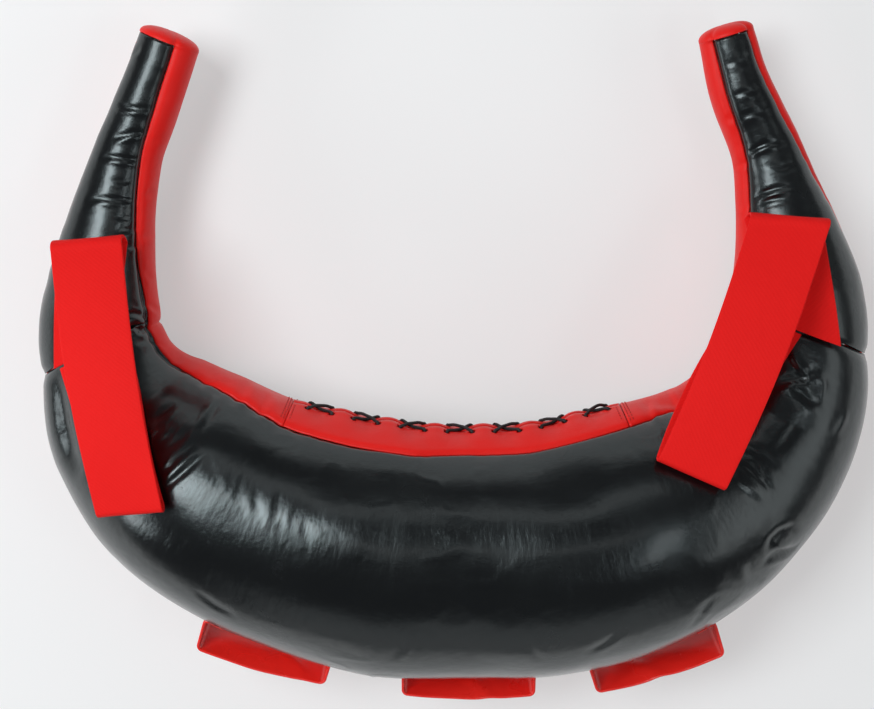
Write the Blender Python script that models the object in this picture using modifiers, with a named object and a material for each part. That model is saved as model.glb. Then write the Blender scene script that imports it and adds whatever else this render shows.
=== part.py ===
"""Crescent sandbag trainer, lying on its back.

Origin: on the flat of the back panel, under the middle of the body.
X runs from the left horn to the right horn, Y runs towards the horn tips,
Z runs from the back panel to the front panel. All lengths are in metres.
"""
import bisect
import math

import bmesh
import bpy
from mathutils import Matrix, Vector
from mathutils.bvhtree import BVHTree

# Driving sizes
HORN_SPREAD = 0.240
HORN_REACH = 0.350
BODY_RADIUS = 0.088
HORN_TIP_HEIGHT = 0.046
HORN_FOOT_HEIGHT = 0.056
HORN_FOOT_RADIUS = 0.060
REST_FLAT_SHARE = 0.07

# Sewn skin
SKIN_THICKNESS = 0.0015
SEAM_GAP = 0.0006
SEAM_DIP = 0.0016
SEAM_DIP_WIDTH = 0.005
GUSSET_WIDTH = 0.076
OUTER_STRIP_WIDTH = 0.030
CROSS_SEAM_RISE = 0.030
CROSS_SEAM_FADE = 0.050
CROSS_SEAM_LEFT = -0.297
CROSS_SEAM_RIGHT = 0.307
TIP_DOME = 0.0068
TIP_COLLAR = 0.0012

# Laced placket
PLACKET_HALF_LENGTH = 0.151
SLIT_WIDTH = 0.0036
CROSS_COUNT = 7
CROSS_PITCH = 0.0327
CROSS_SHIFT = 0.003
CROSS_HALF_LENGTH = 0.0088
CROSS_HALF_WIDTH = 0.008
SCALLOP_HEIGHT = 0.0022
SCALLOP_DIP = 0.0010
LACE_DIAMETER = 0.0024
LACE_HOLE_DIAMETER = 0.0044
LACE_CLEARANCE = 0.0004
LACE_OVERLAP = 0.0004
LACE_TAIL = 0.0025
TONGUE_THICKNESS = 0.0012
TONGUE_WIDTH_SHARE = 0.80

# Webbing
WEBBING_THICKNESS = 0.0020
STRAP_WIDTH = 0.047
STRAP_SEAT_GAP = 0.0008
LOOP_SEAT_GAP = 0.0009
STRAP_LIFT_DEGREES = 11.0
STRAP_PRESS_DEGREES = 1.8
STRAP_TOP_GAP = 0.009
STRAP_BOW = 0.014
STRAP_BOTTOM_GAP = 0.005
STRAP_DRAPE_SHARE = 0.30
STRAP_END_GAP = 0.0015
LEFT_STRAP_TOP_ASIDE = 0.0032
LEFT_STRAP_TOP_AHEAD = 0.0857
LEFT_STRAP_BOTTOM_ASIDE = 0.0334
LEFT_STRAP_BOTTOM_BEHIND = 0.0782
LEFT_STRAP_FOLD_DEGREES = 4.7
LEFT_STRAP_TAIL_ASIDE = -0.022
LEFT_STRAP_UNDER_ASIDE = -0.017
RIGHT_STRAP_TOP_ASIDE = -0.0217
RIGHT_STRAP_TOP_AHEAD = 0.0907
RIGHT_STRAP_BOTTOM_ASIDE = -0.0852
RIGHT_STRAP_BOTTOM_BEHIND = 0.0641
RIGHT_STRAP_FOLD_DEGREES = -3.1
RIGHT_STRAP_TAIL_ASIDE = 0.045
RIGHT_STRAP_UNDER_ASIDE = 0.017
LOOP_WIDTH = 0.040
LOOP_LENGTH = 0.094
LEFT_LOOP_STANDOFF = 0.024
CENTRE_LOOP_STANDOFF = 0.018
RIGHT_LOOP_STANDOFF = 0.0265
LOOP_FOOT = 0.014
LOOP_CORNER = 0.004
LOOP_LEAN_DEGREES = 3.0
LEFT_LOOP_PLACE = -0.110
CENTRE_LOOP_PLACE = 0.0105
RIGHT_LOOP_PLACE = 0.1150

# Filling
FILLING_CLEARANCE = 0.0012
FILLING_END_GAP = 0.003
FILLING_END_INSET = 0.005

# Centre line, left tip to right tip. Each row: sideways share of the spread, share of the reach,
# radius as a share of the body radius, gusset width share, gusset turn and outer strip turn as
# shares of a right angle.
LEFT_SHARES = (
    (-0.812, 0.998, 0.245, 0.50, -0.19, -0.32),
    (-0.888, 0.868, 0.256, 0.52, -0.14, -0.31),
    (-0.940, 0.784, 0.274, 0.55, -0.05, -0.28),
    (-1.000, 0.638, 0.355, 0.63, 0.05, -0.20),
    (-1.035, 0.484, 0.465, 0.70, 0.11, -0.13),
    (-1.022, 0.364, 0.545, 0.77, 0.13, -0.11),
    (-0.950, 0.260, 0.719, 0.85, 0.12, -0.09),
    (-0.800, 0.163, 0.880, 0.93, 0.08, -0.09),
    (-0.570, 0.074, 0.950, 1.00, 0.03, -0.09),
    (-0.185, 0.003, 1.008, 1.00, 0.00, -0.09),
)
RIGHT_SHARES = (
    (0.292, 0.004, 1.004, 0.85, 0.00, -0.09),
    (0.622, 0.074, 0.945, 1.00, 0.08, -0.09),
    (0.828, 0.161, 0.812, 0.93, 0.13, -0.09),
    (0.945, 0.267, 0.700, 0.85, 0.10, -0.10),
    (0.995, 0.388, 0.592, 0.77, 0.10, -0.11),
    (0.994, 0.504, 0.525, 0.71, 0.11, -0.12),
    (0.975, 0.590, 0.443, 0.66, 0.12, -0.13),
    (0.931, 0.703, 0.337, 0.60, 0.16, -0.10),
    (0.889, 0.796, 0.271, 0.55, 0.15, -0.04),
    (0.810, 0.911, 0.241, 0.52, 0.06, -0.04),
    (0.765, 1.010, 0.217, 0.50, 0.15, -0.03),
)
MIDDLE_SHARES = ((0.0, -0.005, 0.998, 0.88, 0.00, -0.09),)

# How finely the sewn skin is divided
HORN_ROWS = 12
SHOULDER_ROWS = 7
MIDDLE_ROWS = 14
ROWS_PER_CROSS = 6
CREST_STEPS = 75
PANEL_COLUMNS = 8
GUSSET_COLUMNS = 4
STRIP_COLUMNS = 2
SEAT_ROW_COUNT = 2
SEAT_SAMPLE_COUNT = 20
EASE_SHARE = 0.06
STRAP_COLUMNS = 4
STRAP_ROWS_BELOW = 8
STRAP_ROWS_ABOVE = 6
STRAP_ROWS_FRONT = 8

RED = (0.78, 0.035, 0.025, 1.0)
WEB_RED = (0.84, 0.022, 0.017, 1.0)
BLACK = (0.012, 0.012, 0.013, 1.0)
LACE_BLACK = (0.006, 0.006, 0.007, 1.0)
TONGUE_RED = (0.50, 0.030, 0.022, 1.0)
LINER_TAN = (0.52, 0.44, 0.31, 1.0)
FIBRE_WHITE = (0.80, 0.78, 0.72, 1.0)


def clear_scene():
    for item in list(bpy.data.objects):
        bpy.data.objects.remove(item, do_unlink=True)


def make_collection(name):
    collection = bpy.data.collections.new(name)
    bpy.context.scene.collection.children.link(collection)
    return collection


def make_material(name, colour, roughness, coat=0.0):
    material = bpy.data.materials.new(name)
    material.use_nodes = True
    shader = material.node_tree.nodes["Principled BSDF"]
    shader.inputs["Base Color"].default_value = colour
    shader.inputs["Roughness"].default_value = roughness
    shader.inputs["Metallic"].default_value = 0.0
    shader.inputs["Coat Weight"].default_value = coat
    return material


class Spine:
    """The bag's centre line with its radius and seam positions, read by distance from the middle."""

    def __init__(self, rows):
        self.points = [Vector((r[0] * HORN_SPREAD, r[1] * HORN_REACH, 0.0)) for r in rows]
        self.values = [(r[2] * BODY_RADIUS, r[3] * GUSSET_WIDTH, r[4] * math.pi / 2, r[5] * math.pi / 2)
                       for r in rows]
        lengths = [0.0]
        for a, b in zip(self.points, self.points[1:]):
            lengths.append(lengths[-1] + (b - a).length)
        middle = lengths[len(LEFT_SHARES)]
        self.stations = [value - middle for value in lengths]
        self.start = self.stations[0]
        self.end = self.stations[-1]

    def _span(self, s):
        s = min(max(s, self.start), self.end)
        k = 0
        while k < len(self.stations) - 2 and s > self.stations[k + 1]:
            k += 1
        return k, s

    def _slope(self, items, k):
        low = max(k - 1, 0)
        high = min(k + 1, len(items) - 1)
        return (items[high] - items[low]) / (self.stations[high] - self.stations[low])

    def _read(self, items, s):
        k, s = self._span(s)
        h = self.stations[k + 1] - self.stations[k]
        t = (s - self.stations[k]) / h
        m0 = self._slope(items, k)
        m1 = self._slope(items, k + 1)
        return (items[k] * (2 * t ** 3 - 3 * t ** 2 + 1) + m0 * (h * (t ** 3 - 2 * t ** 2 + t))
                + items[k + 1] * (3 * t ** 2 - 2 * t ** 3) + m1 * (h * (t ** 3 - t ** 2)))

    def radius(self, s):
        return self._read([v[0] for v in self.values], s)

    def gusset_half_angle(self, s):
        return self._read([v[1] for v in self.values], s) / 2 / self.radius(s)

    def strip_half_angle(self, s):
        return OUTER_STRIP_WIDTH / 2 / self.radius(s)

    def gusset_turn(self, s):
        return self._read([v[2] for v in self.values], s)

    def strip_turn(self, s):
        return self._read([v[3] for v in self.values], s)

    def height(self, s):
        """Height of the centre line: the body rests on its back and the thin horns lift off."""
        r = self.radius(s)
        lying = r * (1 - REST_FLAT_SHARE)
        share = min(r / HORN_FOOT_RADIUS, 1.0)
        lifted = HORN_TIP_HEIGHT + (HORN_FOOT_HEIGHT - HORN_TIP_HEIGHT) * share ** 2
        return max(lying, lifted)

    def centre(self, s):
        point = self._read(self.points, s)
        return Vector((point.x, point.y, self.height(s)))

    def tangent(self, s):
        step = (self.end - self.start) / 400
        a = self._read(self.points, s - step)
        b = self._read(self.points, s + step)
        return (b - a).normalized()

    def outward(self, s):
        along = self.tangent(s)
        return Vector((along.y, -along.x, 0.0))


SPINE = Spine(LEFT_SHARES + MIDDLE_SHARES + RIGHT_SHARES)


def seam_angles(s):
    """Front outer, front inner, back inner and back outer seams, as angles round the section."""
    strip = SPINE.strip_half_angle(s)
    gusset = SPINE.gusset_half_angle(s)
    turn_out = SPINE.strip_turn(s)
    turn_in = SPINE.gusset_turn(s)
    return (strip + turn_out, math.pi - gusset + turn_in, math.pi + gusset + turn_in,
            2 * math.pi - strip + turn_out)


def seam_dip(s, angle):
    """How far the skin is drawn in by its four long seams."""
    r = SPINE.radius(s)
    dip = 0.0
    for seam in seam_angles(s):
        away = abs((angle - seam + math.pi) % (2 * math.pi) - math.pi) * r
        dip += math.exp(-(away / SEAM_DIP_WIDTH) ** 2)
    return SEAM_DIP * dip


def slant(s, share):
    """The cross seams run on a slant. share is 0 at the outer long seam and 1 at the inner one."""
    rise = CROSS_SEAM_RISE * (1 - math.cos(math.pi * share)) / 2
    left = math.exp(-((s - CROSS_SEAM_LEFT) / CROSS_SEAM_FADE) ** 2)
    right = math.exp(-((s - CROSS_SEAM_RIGHT) / CROSS_SEAM_FADE) ** 2)
    return rise * (right - left)


def inner_share(s, angle):
    """How far an angle lies from the outer strip, at 0, to the inner strip, at 1."""
    front_outer, front_inner, back_inner, back_outer = seam_angles(s)
    turn = (angle - front_outer) % (2 * math.pi)
    if turn < front_inner - front_outer:
        return turn / (front_inner - front_outer)
    if turn < back_inner - front_outer:
        return 1.0
    if turn < back_outer - front_outer:
        return (back_outer - front_outer - turn) / (back_outer - back_inner)
    return 0.0


def cross_dip(s, angle):
    """How far the skin is drawn in by the two slanted cross seams."""
    dip = 0.0
    share = inner_share(s, angle)
    for cross in (CROSS_SEAM_LEFT, CROSS_SEAM_RIGHT):
        away = s - cross - slant(cross, share)
        dip += math.exp(-(away / (2 * SEAM_DIP_WIDTH)) ** 2)
    return SEAM_DIP * dip


def scallop(s, angle):
    """The placket's edge stands up between the crosses and is pulled down at each cross."""
    if abs(s) >= PLACKET_HALF_LENGTH:
        return 0.0
    across = abs(angle - math.pi - SPINE.gusset_turn(s)) * SPINE.radius(s)
    fade = max(0.0, 1 - across / (GUSSET_WIDTH * 0.36))
    edge = min(1.0, (PLACKET_HALF_LENGTH - abs(s)) / CROSS_PITCH)
    wave = 0.5 - 0.5 * math.cos(2 * math.pi * (CREST.distance(s) - CROSS_SHIFT) / CROSS_PITCH)
    return ((SCALLOP_HEIGHT + SCALLOP_DIP) * wave - SCALLOP_DIP) * fade * edge


def bag_point(s, angle, inset=0.0, dome=0.0, wavy=False):
    """A point of the sewn skin, inset below its face.

    dome closes a horn's tip, from 0 to a quarter turn. wavy adds the placket's scalloped edge.
    """
    r = SPINE.radius(s) - seam_dip(s, angle) - cross_dip(s, angle) - inset
    if wavy:
        r += scallop(s, angle)
    out = SPINE.outward(s)
    point = SPINE.centre(s)
    reach = r * math.cos(dome)
    point = point + out * (reach * math.cos(angle)) + Vector((0, 0, 1)) * (reach * math.sin(angle))
    if dome:
        ahead = SPINE.tangent(s) * (1 if s > 0 else -1)
        point = point + ahead * ((TIP_DOME - inset) * math.sin(dome))
    point.z = max(point.z, inset)
    return point


def body_stations():
    """Rows of the body, with the placket's ends among them, shared by every piece sewn along it."""
    left = CROSS_SEAM_LEFT + SEAM_GAP / 2
    right = CROSS_SEAM_RIGHT - SEAM_GAP / 2
    reach = PLACKET_HALF_LENGTH
    return (spread(left, -reach, SHOULDER_ROWS)[:-1] + spread(-reach, reach, MIDDLE_ROWS)
            + spread(reach, right, SHOULDER_ROWS)[1:])


def horn_stations(tip, cross):
    """Rows of a horn, from its cross seam to its tip."""
    toward = 1 if tip > 0 else -1
    return spread(cross + toward * SEAM_GAP / 2, tip, HORN_ROWS)


def spread(low, high, count):
    return [low + (high - low) * k / count for k in range(count + 1)]


def eased(low, high, count):
    """Divisions that are closer at both ends, where the skin dips into its seams."""
    return [low + (high - low) * (k / count - EASE_SHARE * math.sin(4 * math.pi * k / count))
            for k in range(count + 1)]


def grid_object(name, rows, closed, material, collection, thickness, offset=-1.0):
    """An open sheet through rows of points, thickened with Solidify."""
    mesh = bpy.data.meshes.new(name)
    verts = [p for row in rows for p in row]
    width = len(rows[0])
    faces = []
    last = len(rows) if closed else len(rows) - 1
    for i in range(last):
        j = (i + 1) % len(rows)
        for k in range(width - 1):
            faces.append((i * width + k, j * width + k, j * width + k + 1, i * width + k + 1))
    mesh.from_pydata([tuple(v) for v in verts], [], faces)
    return shell_object(name, mesh, material, collection, thickness, offset)


def shell_object(name, mesh, material, collection, thickness, offset=-1.0):
    mesh.materials.append(material)
    mesh.shade_smooth()
    item = bpy.data.objects.new(name, mesh)
    collection.objects.link(item)
    solid = item.modifiers.new("Thickness", "SOLIDIFY")
    solid.thickness = thickness
    solid.offset = offset
    return item


def panel_rows(stations, side):
    """Rows of one black panel. side 0 is the front, side 1 the back."""
    rows = []
    for s in stations:
        seams = seam_angles(s)
        half_gap = SEAM_GAP / 2 / SPINE.radius(s)
        low = seams[0] + half_gap if side == 0 else seams[2] + half_gap
        high = seams[1] - half_gap if side == 0 else seams[3] - half_gap
        row = []
        for share in eased(0.0, 1.0, PANEL_COLUMNS):
            inner = share if side == 0 else 1 - share
            row.append(bag_point(s + slant(s, inner), low + (high - low) * share))
        rows.append(row)
    return rows


def build_panels(collection, black):
    left = list(reversed(horn_stations(SPINE.start, CROSS_SEAM_LEFT)))
    right = horn_stations(SPINE.end, CROSS_SEAM_RIGHT)
    for side, word in ((0, "front"), (1, "back")):
        for name, stations in (("_body_panel", body_stations()), ("_horn_panel_left", left),
                               ("_horn_panel_right", right)):
            grid_object(word + name, panel_rows(stations, side), False, black, collection, SKIN_THICKNESS)


def strip_row(s, low, high, columns, inner):
    """One row of a strip between two seam angles, held back by the seam's gap."""
    half_gap = SEAM_GAP / 2 / SPINE.radius(s)
    place = s + slant(s, inner)
    return [bag_point(place, a) for a in spread(low + half_gap, high - half_gap, columns)]


def tip_ring_angles(tip):
    """Angles round a horn's tip, with the panels' and strips' own divisions, and the strips' places."""
    seams = seam_angles(tip)
    half_gap = SEAM_GAP / 2 / SPINE.radius(tip)
    outer = spread(seams[3] - 2 * math.pi + half_gap, seams[0] - half_gap, STRIP_COLUMNS)
    inner = spread(seams[1] + half_gap, seams[2] - half_gap, GUSSET_COLUMNS)
    front = [seams[0] + (seams[1] - seams[0]) * v for v in eased(0, 1, PANEL_COLUMNS)][1:-1]
    back = [seams[2] + (seams[3] - seams[2]) * v for v in eased(0, 1, PANEL_COLUMNS)][1:-1]
    first_inner = len(outer) + len(front)
    outer_slots = range(len(outer))
    inner_slots = range(first_inner, first_inner + len(inner))
    return outer + front + inner + back, outer_slots, inner_slots


def build_gusset(collection, red, word, tip, cross, placket):
    """One red strip up the inner edge, over the horn's tip and down the outer edge."""
    toward = 1 if tip > 0 else -1
    ahead = SPINE.tangent(tip) * toward
    mesh = bpy.data.meshes.new("gusset_strip_" + word)
    bm = bmesh.new()
    shoulder = [s for s in body_stations() if s * toward > abs(placket) - SEAM_GAP]
    shoulder.sort(key=abs)
    shoulder[0] += toward * SEAM_GAP / 2
    horn = horn_stations(tip, cross)
    inner = []
    for s in shoulder[:-1] + horn:
        seams = seam_angles(s)
        inner.append([bm.verts.new(p) for p in strip_row(s, seams[1], seams[2], GUSSET_COLUMNS, 1.0)])
    outer = []
    for s in [horn[0]] + horn[1:]:
        seams = seam_angles(s)
        outer.append([bm.verts.new(p)
                      for p in strip_row(s, seams[3] - 2 * math.pi, seams[0], STRIP_COLUMNS, 0.0)])
    # The cap over the tip: a short collar past the black panels' ends, then a low dome
    angles, outer_slots, inner_slots = tip_ring_angles(tip)
    rings = []
    for collar, dome in ((SEAM_GAP, 0.0), (TIP_COLLAR, 0.0), (TIP_COLLAR, math.pi / 6),
                         (TIP_COLLAR, math.pi / 3)):
        rings.append([bm.verts.new(bag_point(tip, a, dome=dome) + ahead * collar) for a in angles])
    apex = bm.verts.new(SPINE.centre(tip) + ahead * (TIP_DOME + TIP_COLLAR))
    faces = []
    for grid, slots in ((inner, inner_slots), (outer, outer_slots)):
        rows = grid + [[rings[0][k] for k in slots]]
        for a, b in zip(rows, rows[1:]):
            for k in range(len(a) - 1):
                faces.append((a[k], b[k], b[k + 1], a[k + 1]))
    count = len(angles)
    for a, b in zip(rings, rings[1:]):
        for k in range(count):
            n = (k + 1) % count
            faces.append((a[k], b[k], b[n], a[n]))
    for k in range(count):
        faces.append((rings[-1][k], apex, rings[-1][(k + 1) % count]))
    for face in faces:
        bm.faces.new(face if toward > 0 else tuple(reversed(face)))
    bm.normal_update()
    bm.to_mesh(mesh)
    bm.free()
    return shell_object("gusset_strip_" + word, mesh, red, collection, SKIN_THICKNESS)


def build_outer_strip(collection, red):
    rows = []
    for s in body_stations():
        seams = seam_angles(s)
        rows.append(strip_row(s, seams[3] - 2 * math.pi, seams[0], STRIP_COLUMNS, 0.0))
    grid_object("outer_body_strip", rows, False, red, collection, SKIN_THICKNESS)


class Crest:
    """Distances along the placket's slit, from the bag's middle row, for an even lacing."""

    def __init__(self, steps_each_way):
        reach = PLACKET_HALF_LENGTH
        self.stations = spread(-reach, reach, 2 * steps_each_way)
        points = [bag_point(s, math.pi + SPINE.gusset_turn(s)) for s in self.stations]
        lengths = [0.0]
        for a, b in zip(points, points[1:]):
            lengths.append(lengths[-1] + (b - a).length)
        self.lengths = [v - lengths[steps_each_way] for v in lengths]

    def _between(self, places, values, place):
        k = min(max(bisect.bisect_left(places, place), 1), len(places) - 1)
        share = (place - places[k - 1]) / (places[k] - places[k - 1])
        return values[k - 1] + (values[k] - values[k - 1]) * share

    def distance(self, s):
        return self._between(self.stations, self.lengths, s)

    def station(self, distance):
        return self._between(self.lengths, self.stations, distance)


CREST = Crest(CREST_STEPS)


def cross_places():
    """The middle of each cross, as a distance along the slit."""
    return [CROSS_SHIFT + (k - (CROSS_COUNT - 1) / 2) * CROSS_PITCH for k in range(CROSS_COUNT)]


def placket_point(s, across, inset, wavy=True):
    """A point at a distance across from the slit's middle, inset below the placket's face."""
    angle = math.pi + SPINE.gusset_turn(s) - across / SPINE.radius(s)
    return bag_point(s, angle, inset, wavy=wavy)


def hole_cutter(cutters, name, side):
    """All the lace holes of one flap, as short cylinders through the skin."""
    mesh = bpy.data.meshes.new(name)
    bm = bmesh.new()
    for middle in cross_places():
        for end in (-1, 1):
            s = CREST.station(middle + end * CROSS_HALF_LENGTH)
            face = placket_point(s, side * CROSS_HALF_WIDTH, 0.0)
            below = placket_point(s, side * CROSS_HALF_WIDTH, SKIN_THICKNESS)
            axis = (face - below).normalized()
            made = bmesh.ops.create_cone(bm, cap_ends=True, segments=8, radius1=LACE_HOLE_DIAMETER / 2,
                                         radius2=LACE_HOLE_DIAMETER / 2, depth=6 * SKIN_THICKNESS)
            turn = axis.to_track_quat("Z", "Y").to_matrix().to_4x4()
            turn.translation = (face + below) / 2
            bmesh.ops.transform(bm, matrix=turn, verts=made["verts"])
    bm.to_mesh(mesh)
    bm.free()
    item = bpy.data.objects.new(name, mesh)
    cutters.objects.link(item)
    item.hide_render = True
    item.display_type = "WIRE"
    return item


def flap_stations():
    """Rows of the flaps: their ends, and even steps that fall on the crosses' middles."""
    first = CREST.distance(-PLACKET_HALF_LENGTH + SEAM_GAP / 2)
    last = CREST.distance(PLACKET_HALF_LENGTH - SEAM_GAP / 2)
    step = CROSS_PITCH / ROWS_PER_CROSS
    low = math.ceil((first - CROSS_SHIFT) / step + 0.3)
    high = math.floor((last - CROSS_SHIFT) / step - 0.3)
    places = [first] + [CROSS_SHIFT + k * step for k in range(low, high + 1)] + [last]
    return [CREST.station(place) for place in places]


def build_placket(collection, cutters, red):
    for side, word in ((1, "front"), (-1, "back")):
        rows = []
        for s in flap_stations():
            r = SPINE.radius(s)
            half = SPINE.gusset_half_angle(s) * r - SEAM_GAP / 2
            shares = [SLIT_WIDTH / 2] + spread(CROSS_HALF_WIDTH, half, 3)
            row = [placket_point(s, side * a, 0.0) for a in shares]
            if side > 0:
                row.reverse()
            rows.append(row)
        flap = grid_object("placket_flap_" + word, rows, False, red, collection, SKIN_THICKNESS)
        cutter = hole_cutter(cutters, "lace_holes_" + word, side)
        cut = flap.modifiers.new("Lace holes", "BOOLEAN")
        cut.operation = "DIFFERENCE"
        cut.object = cutter


def tongue_inset(s, across):
    """The tongue lies close under the flaps at its edges and deeper under the lace."""
    deep = SKIN_THICKNESS + 3 * LACE_CLEARANCE + LACE_DIAMETER
    shallow = SKIN_THICKNESS + 2.5 * LACE_CLEARANCE
    half = SPINE.gusset_half_angle(s) * SPINE.radius(s) * TONGUE_WIDTH_SHARE
    share = min(max((half - abs(across)) / (half * 0.40), 0.0), 1.0)
    share = share * share * (3 - 2 * share)
    return shallow + (deep - shallow) * share


def build_tongue(collection, material):
    rows = []
    reach = PLACKET_HALF_LENGTH - SKIN_THICKNESS
    for s in spread(-reach, reach, 2 * MIDDLE_ROWS):
        half = SPINE.gusset_half_angle(s) * SPINE.radius(s) * TONGUE_WIDTH_SHARE
        acrosses = spread(half, -half, 8)
        rows.append([placket_point(s, a, tongue_inset(s, a), False) for a in acrosses])
    grid_object("placket_tongue", rows, False, material, collection, TONGUE_THICKNESS)


def lace_points():
    """The lace's whole route: both strands cross over the slit and run on under the flaps."""
    low = -(SKIN_THICKNESS + LACE_CLEARANCE + LACE_DIAMETER / 2)
    rest = LACE_CLEARANCE + LACE_DIAMETER / 2
    over = rest + LACE_DIAMETER + LACE_OVERLAP
    bend = LACE_DIAMETER * 0.6
    strands = []
    for strand, first_side, top in ((0, 1, over), (1, -1, rest)):
        path = []
        side = first_side
        for s0 in cross_places():
            s_in = s0 - CROSS_HALF_LENGTH
            s_out = s0 + CROSS_HALF_LENGTH
            w = side * CROSS_HALF_WIDTH
            path += [(s_in - 1.3 * bend, w, low), (s_in - 0.25 * bend, w, low * 0.72),
                     (s_in, w, -SKIN_THICKNESS / 2),
                     (s_in + 0.30 * bend, w * 0.975, rest * 0.62), (s_in + 1.25 * bend, w * 0.86, rest)]
            path += [(s0 - CROSS_HALF_LENGTH * 0.42, w * 0.44, rest + (top - rest) * 0.75),
                     (s0, 0.0, top),
                     (s0 + CROSS_HALF_LENGTH * 0.42, -w * 0.44, rest + (top - rest) * 0.75)]
            path += [(s_out - 1.25 * bend, -w * 0.86, rest), (s_out - 0.30 * bend, -w * 0.975, rest * 0.62),
                     (s_out, -w, -SKIN_THICKNESS / 2),
                     (s_out + 0.25 * bend, -w, low * 0.72), (s_out + 1.3 * bend, -w, low)]
            side = -side
        strands.append(path)
    start = cross_places()[0] - CROSS_HALF_LENGTH - 1.3 * bend
    turn = [(start - LACE_DIAMETER, 0.6 * CROSS_HALF_WIDTH, low), (start - LACE_DIAMETER * 1.2, 0.0, low),
            (start - LACE_DIAMETER, -0.6 * CROSS_HALF_WIDTH, low)]
    end = strands[0][-1][0] + LACE_TAIL
    tails = [(end, strands[0][-1][1], low)], [(end, strands[1][-1][1], low)]
    route = tails[0] + list(reversed(strands[0])) + turn + strands[1] + tails[1]
    return [placket_point(CREST.station(place), across, -lift) for place, across, lift in route]


def build_lace(collection, material):
    points = lace_points()
    curve = bpy.data.curves.new("lace", "CURVE")
    curve.dimensions = "3D"
    curve.bevel_depth = LACE_DIAMETER / 2
    curve.bevel_resolution = 1
    curve.use_fill_caps = True
    spline = curve.splines.new("POLY")
    spline.points.add(len(points) - 1)
    for slot, point in zip(spline.points, points):
        slot.co = (point.x, point.y, point.z, 1.0)
    curve.materials.append(material)
    item = bpy.data.objects.new("lace", curve)
    collection.objects.link(item)


def bag_surface():
    """The closed outer face of the bag, in the skin's own facets, for laying the webbing on it."""
    stations = (list(reversed(horn_stations(SPINE.start, CROSS_SEAM_LEFT))) + body_stations()
                + horn_stations(SPINE.end, CROSS_SEAM_RIGHT))
    rings = [[bag_point(s + slant(s, inner), angle) for angle, inner in filling_angles(s)] for s in stations]
    columns = len(rings[0])
    verts = [tuple(p) for ring in rings for p in ring]
    faces = []
    for i in range(len(rings) - 1):
        for k in range(columns):
            n = (k + 1) % columns
            faces.append((i * columns + k, (i + 1) * columns + k, (i + 1) * columns + n, i * columns + n))
    return BVHTree.FromPolygons(verts, faces)


def surface_height(tree, x, y):
    above = BODY_RADIUS * 4
    hit = tree.ray_cast(Vector((x, y, above)), Vector((0, 0, -1)))
    return hit[0].z if hit[0] is not None else None


def strap_end(cross, aside, ahead):
    """A strap's fold, placed from the horn's centre line at the cross seam."""
    seam = SPINE.centre(cross)
    return Vector((seam.x + aside, seam.y + ahead, 0.0))


def seam_line(cross):
    """The cross seam on the front, seen from above, as a point and a direction towards +X."""
    ends = []
    for share in (0.2, 0.8):
        seams = seam_angles(cross)
        point = bag_point(cross + slant(cross, share), seams[0] + (seams[1] - seams[0]) * share)
        ends.append(Vector((point.x, point.y, 0.0)))
    ends.sort(key=lambda end: end.x)
    return ends[0], (ends[1] - ends[0]).normalized()


def meet(start, end, point, direction):
    """Where the line from start to end crosses another line, seen from above."""
    run = end - start
    return start + run * ((point - start).cross(direction).z / run.cross(direction).z)


def quad_rows(first, last, shares):
    """Rows of a strip with straight edges, from one pair of corners to another."""
    rows = []
    for share in shares:
        left = first[0].lerp(last[0], share)
        right = first[1].lerp(last[1], share)
        rows.append([left.lerp(right, v) for v in spread(0.0, 1.0, STRAP_COLUMNS)])
    return rows


def laid_heights(tree, rows, degrees):
    """Heights of webbing laid on the bag, lifting off more with the distance from its first row."""
    rise = math.tan(math.radians(degrees))
    middle = STRAP_COLUMNS // 2
    heights = []
    for row in rows:
        under = [surface_height(tree, p.x, p.y) for p in row]
        limit = max(h for h in under if h is not None) - STRAP_WIDTH * STRAP_DRAPE_SHARE
        lift = (row[middle] - rows[0][middle]).length * rise + STRAP_SEAT_GAP + WEBBING_THICKNESS / 2
        heights.append([limit + lift if h is None else max(h, limit) + lift for h in under])
    # Pulled webbing bridges the hollows that it is laid over
    for _ in range(3):
        before = [list(row) for row in heights]
        for i in range(1, len(rows) - 1):
            for k in range(STRAP_COLUMNS + 1):
                heights[i][k] = max(heights[i][k], (before[i - 1][k] + before[i + 1][k]) / 2)
    raise_clear(tree, rows, heights)
    return heights


def raise_clear(tree, places, heights):
    """Raises the laid webbing wherever its facets would cut into the bag between its own points."""
    seat = STRAP_SEAT_GAP + WEBBING_THICKNESS / 2
    steps = spread(0.0, 1.0, 4)
    for _ in range(4):
        raised = [[0.0] * len(row) for row in heights]
        for i in range(len(heights) - 1):
            for k in range(len(heights[0]) - 1):
                corners = ((i, k), (i, k + 1), (i + 1, k), (i + 1, k + 1))
                short = 0.0
                for u in steps:
                    for v in steps:
                        shares = ((1 - u) * (1 - v), (1 - u) * v, u * (1 - v), u * v)
                        x = sum(w * places[a][b].x for w, (a, b) in zip(shares, corners))
                        y = sum(w * places[a][b].y for w, (a, b) in zip(shares, corners))
                        z = sum(w * heights[a][b] for w, (a, b) in zip(shares, corners))
                        under = surface_height(tree, x, y)
                        if under is not None:
                            short = max(short, under + seat - z)
                for a, b in corners:
                    raised[a][b] = max(raised[a][b], short)
        for i, row in enumerate(raised):
            for k, more in enumerate(row):
                heights[i][k] += more * 0.75


def slope_line(heights, width):
    """The middle height and the sideways slope of the straight line that lies over a row."""
    slope = (heights[-1] - heights[0]) / width
    places = spread(-width / 2, width / 2, len(heights) - 1)
    return max(h - slope * w for h, w in zip(heights, places)), slope


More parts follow.
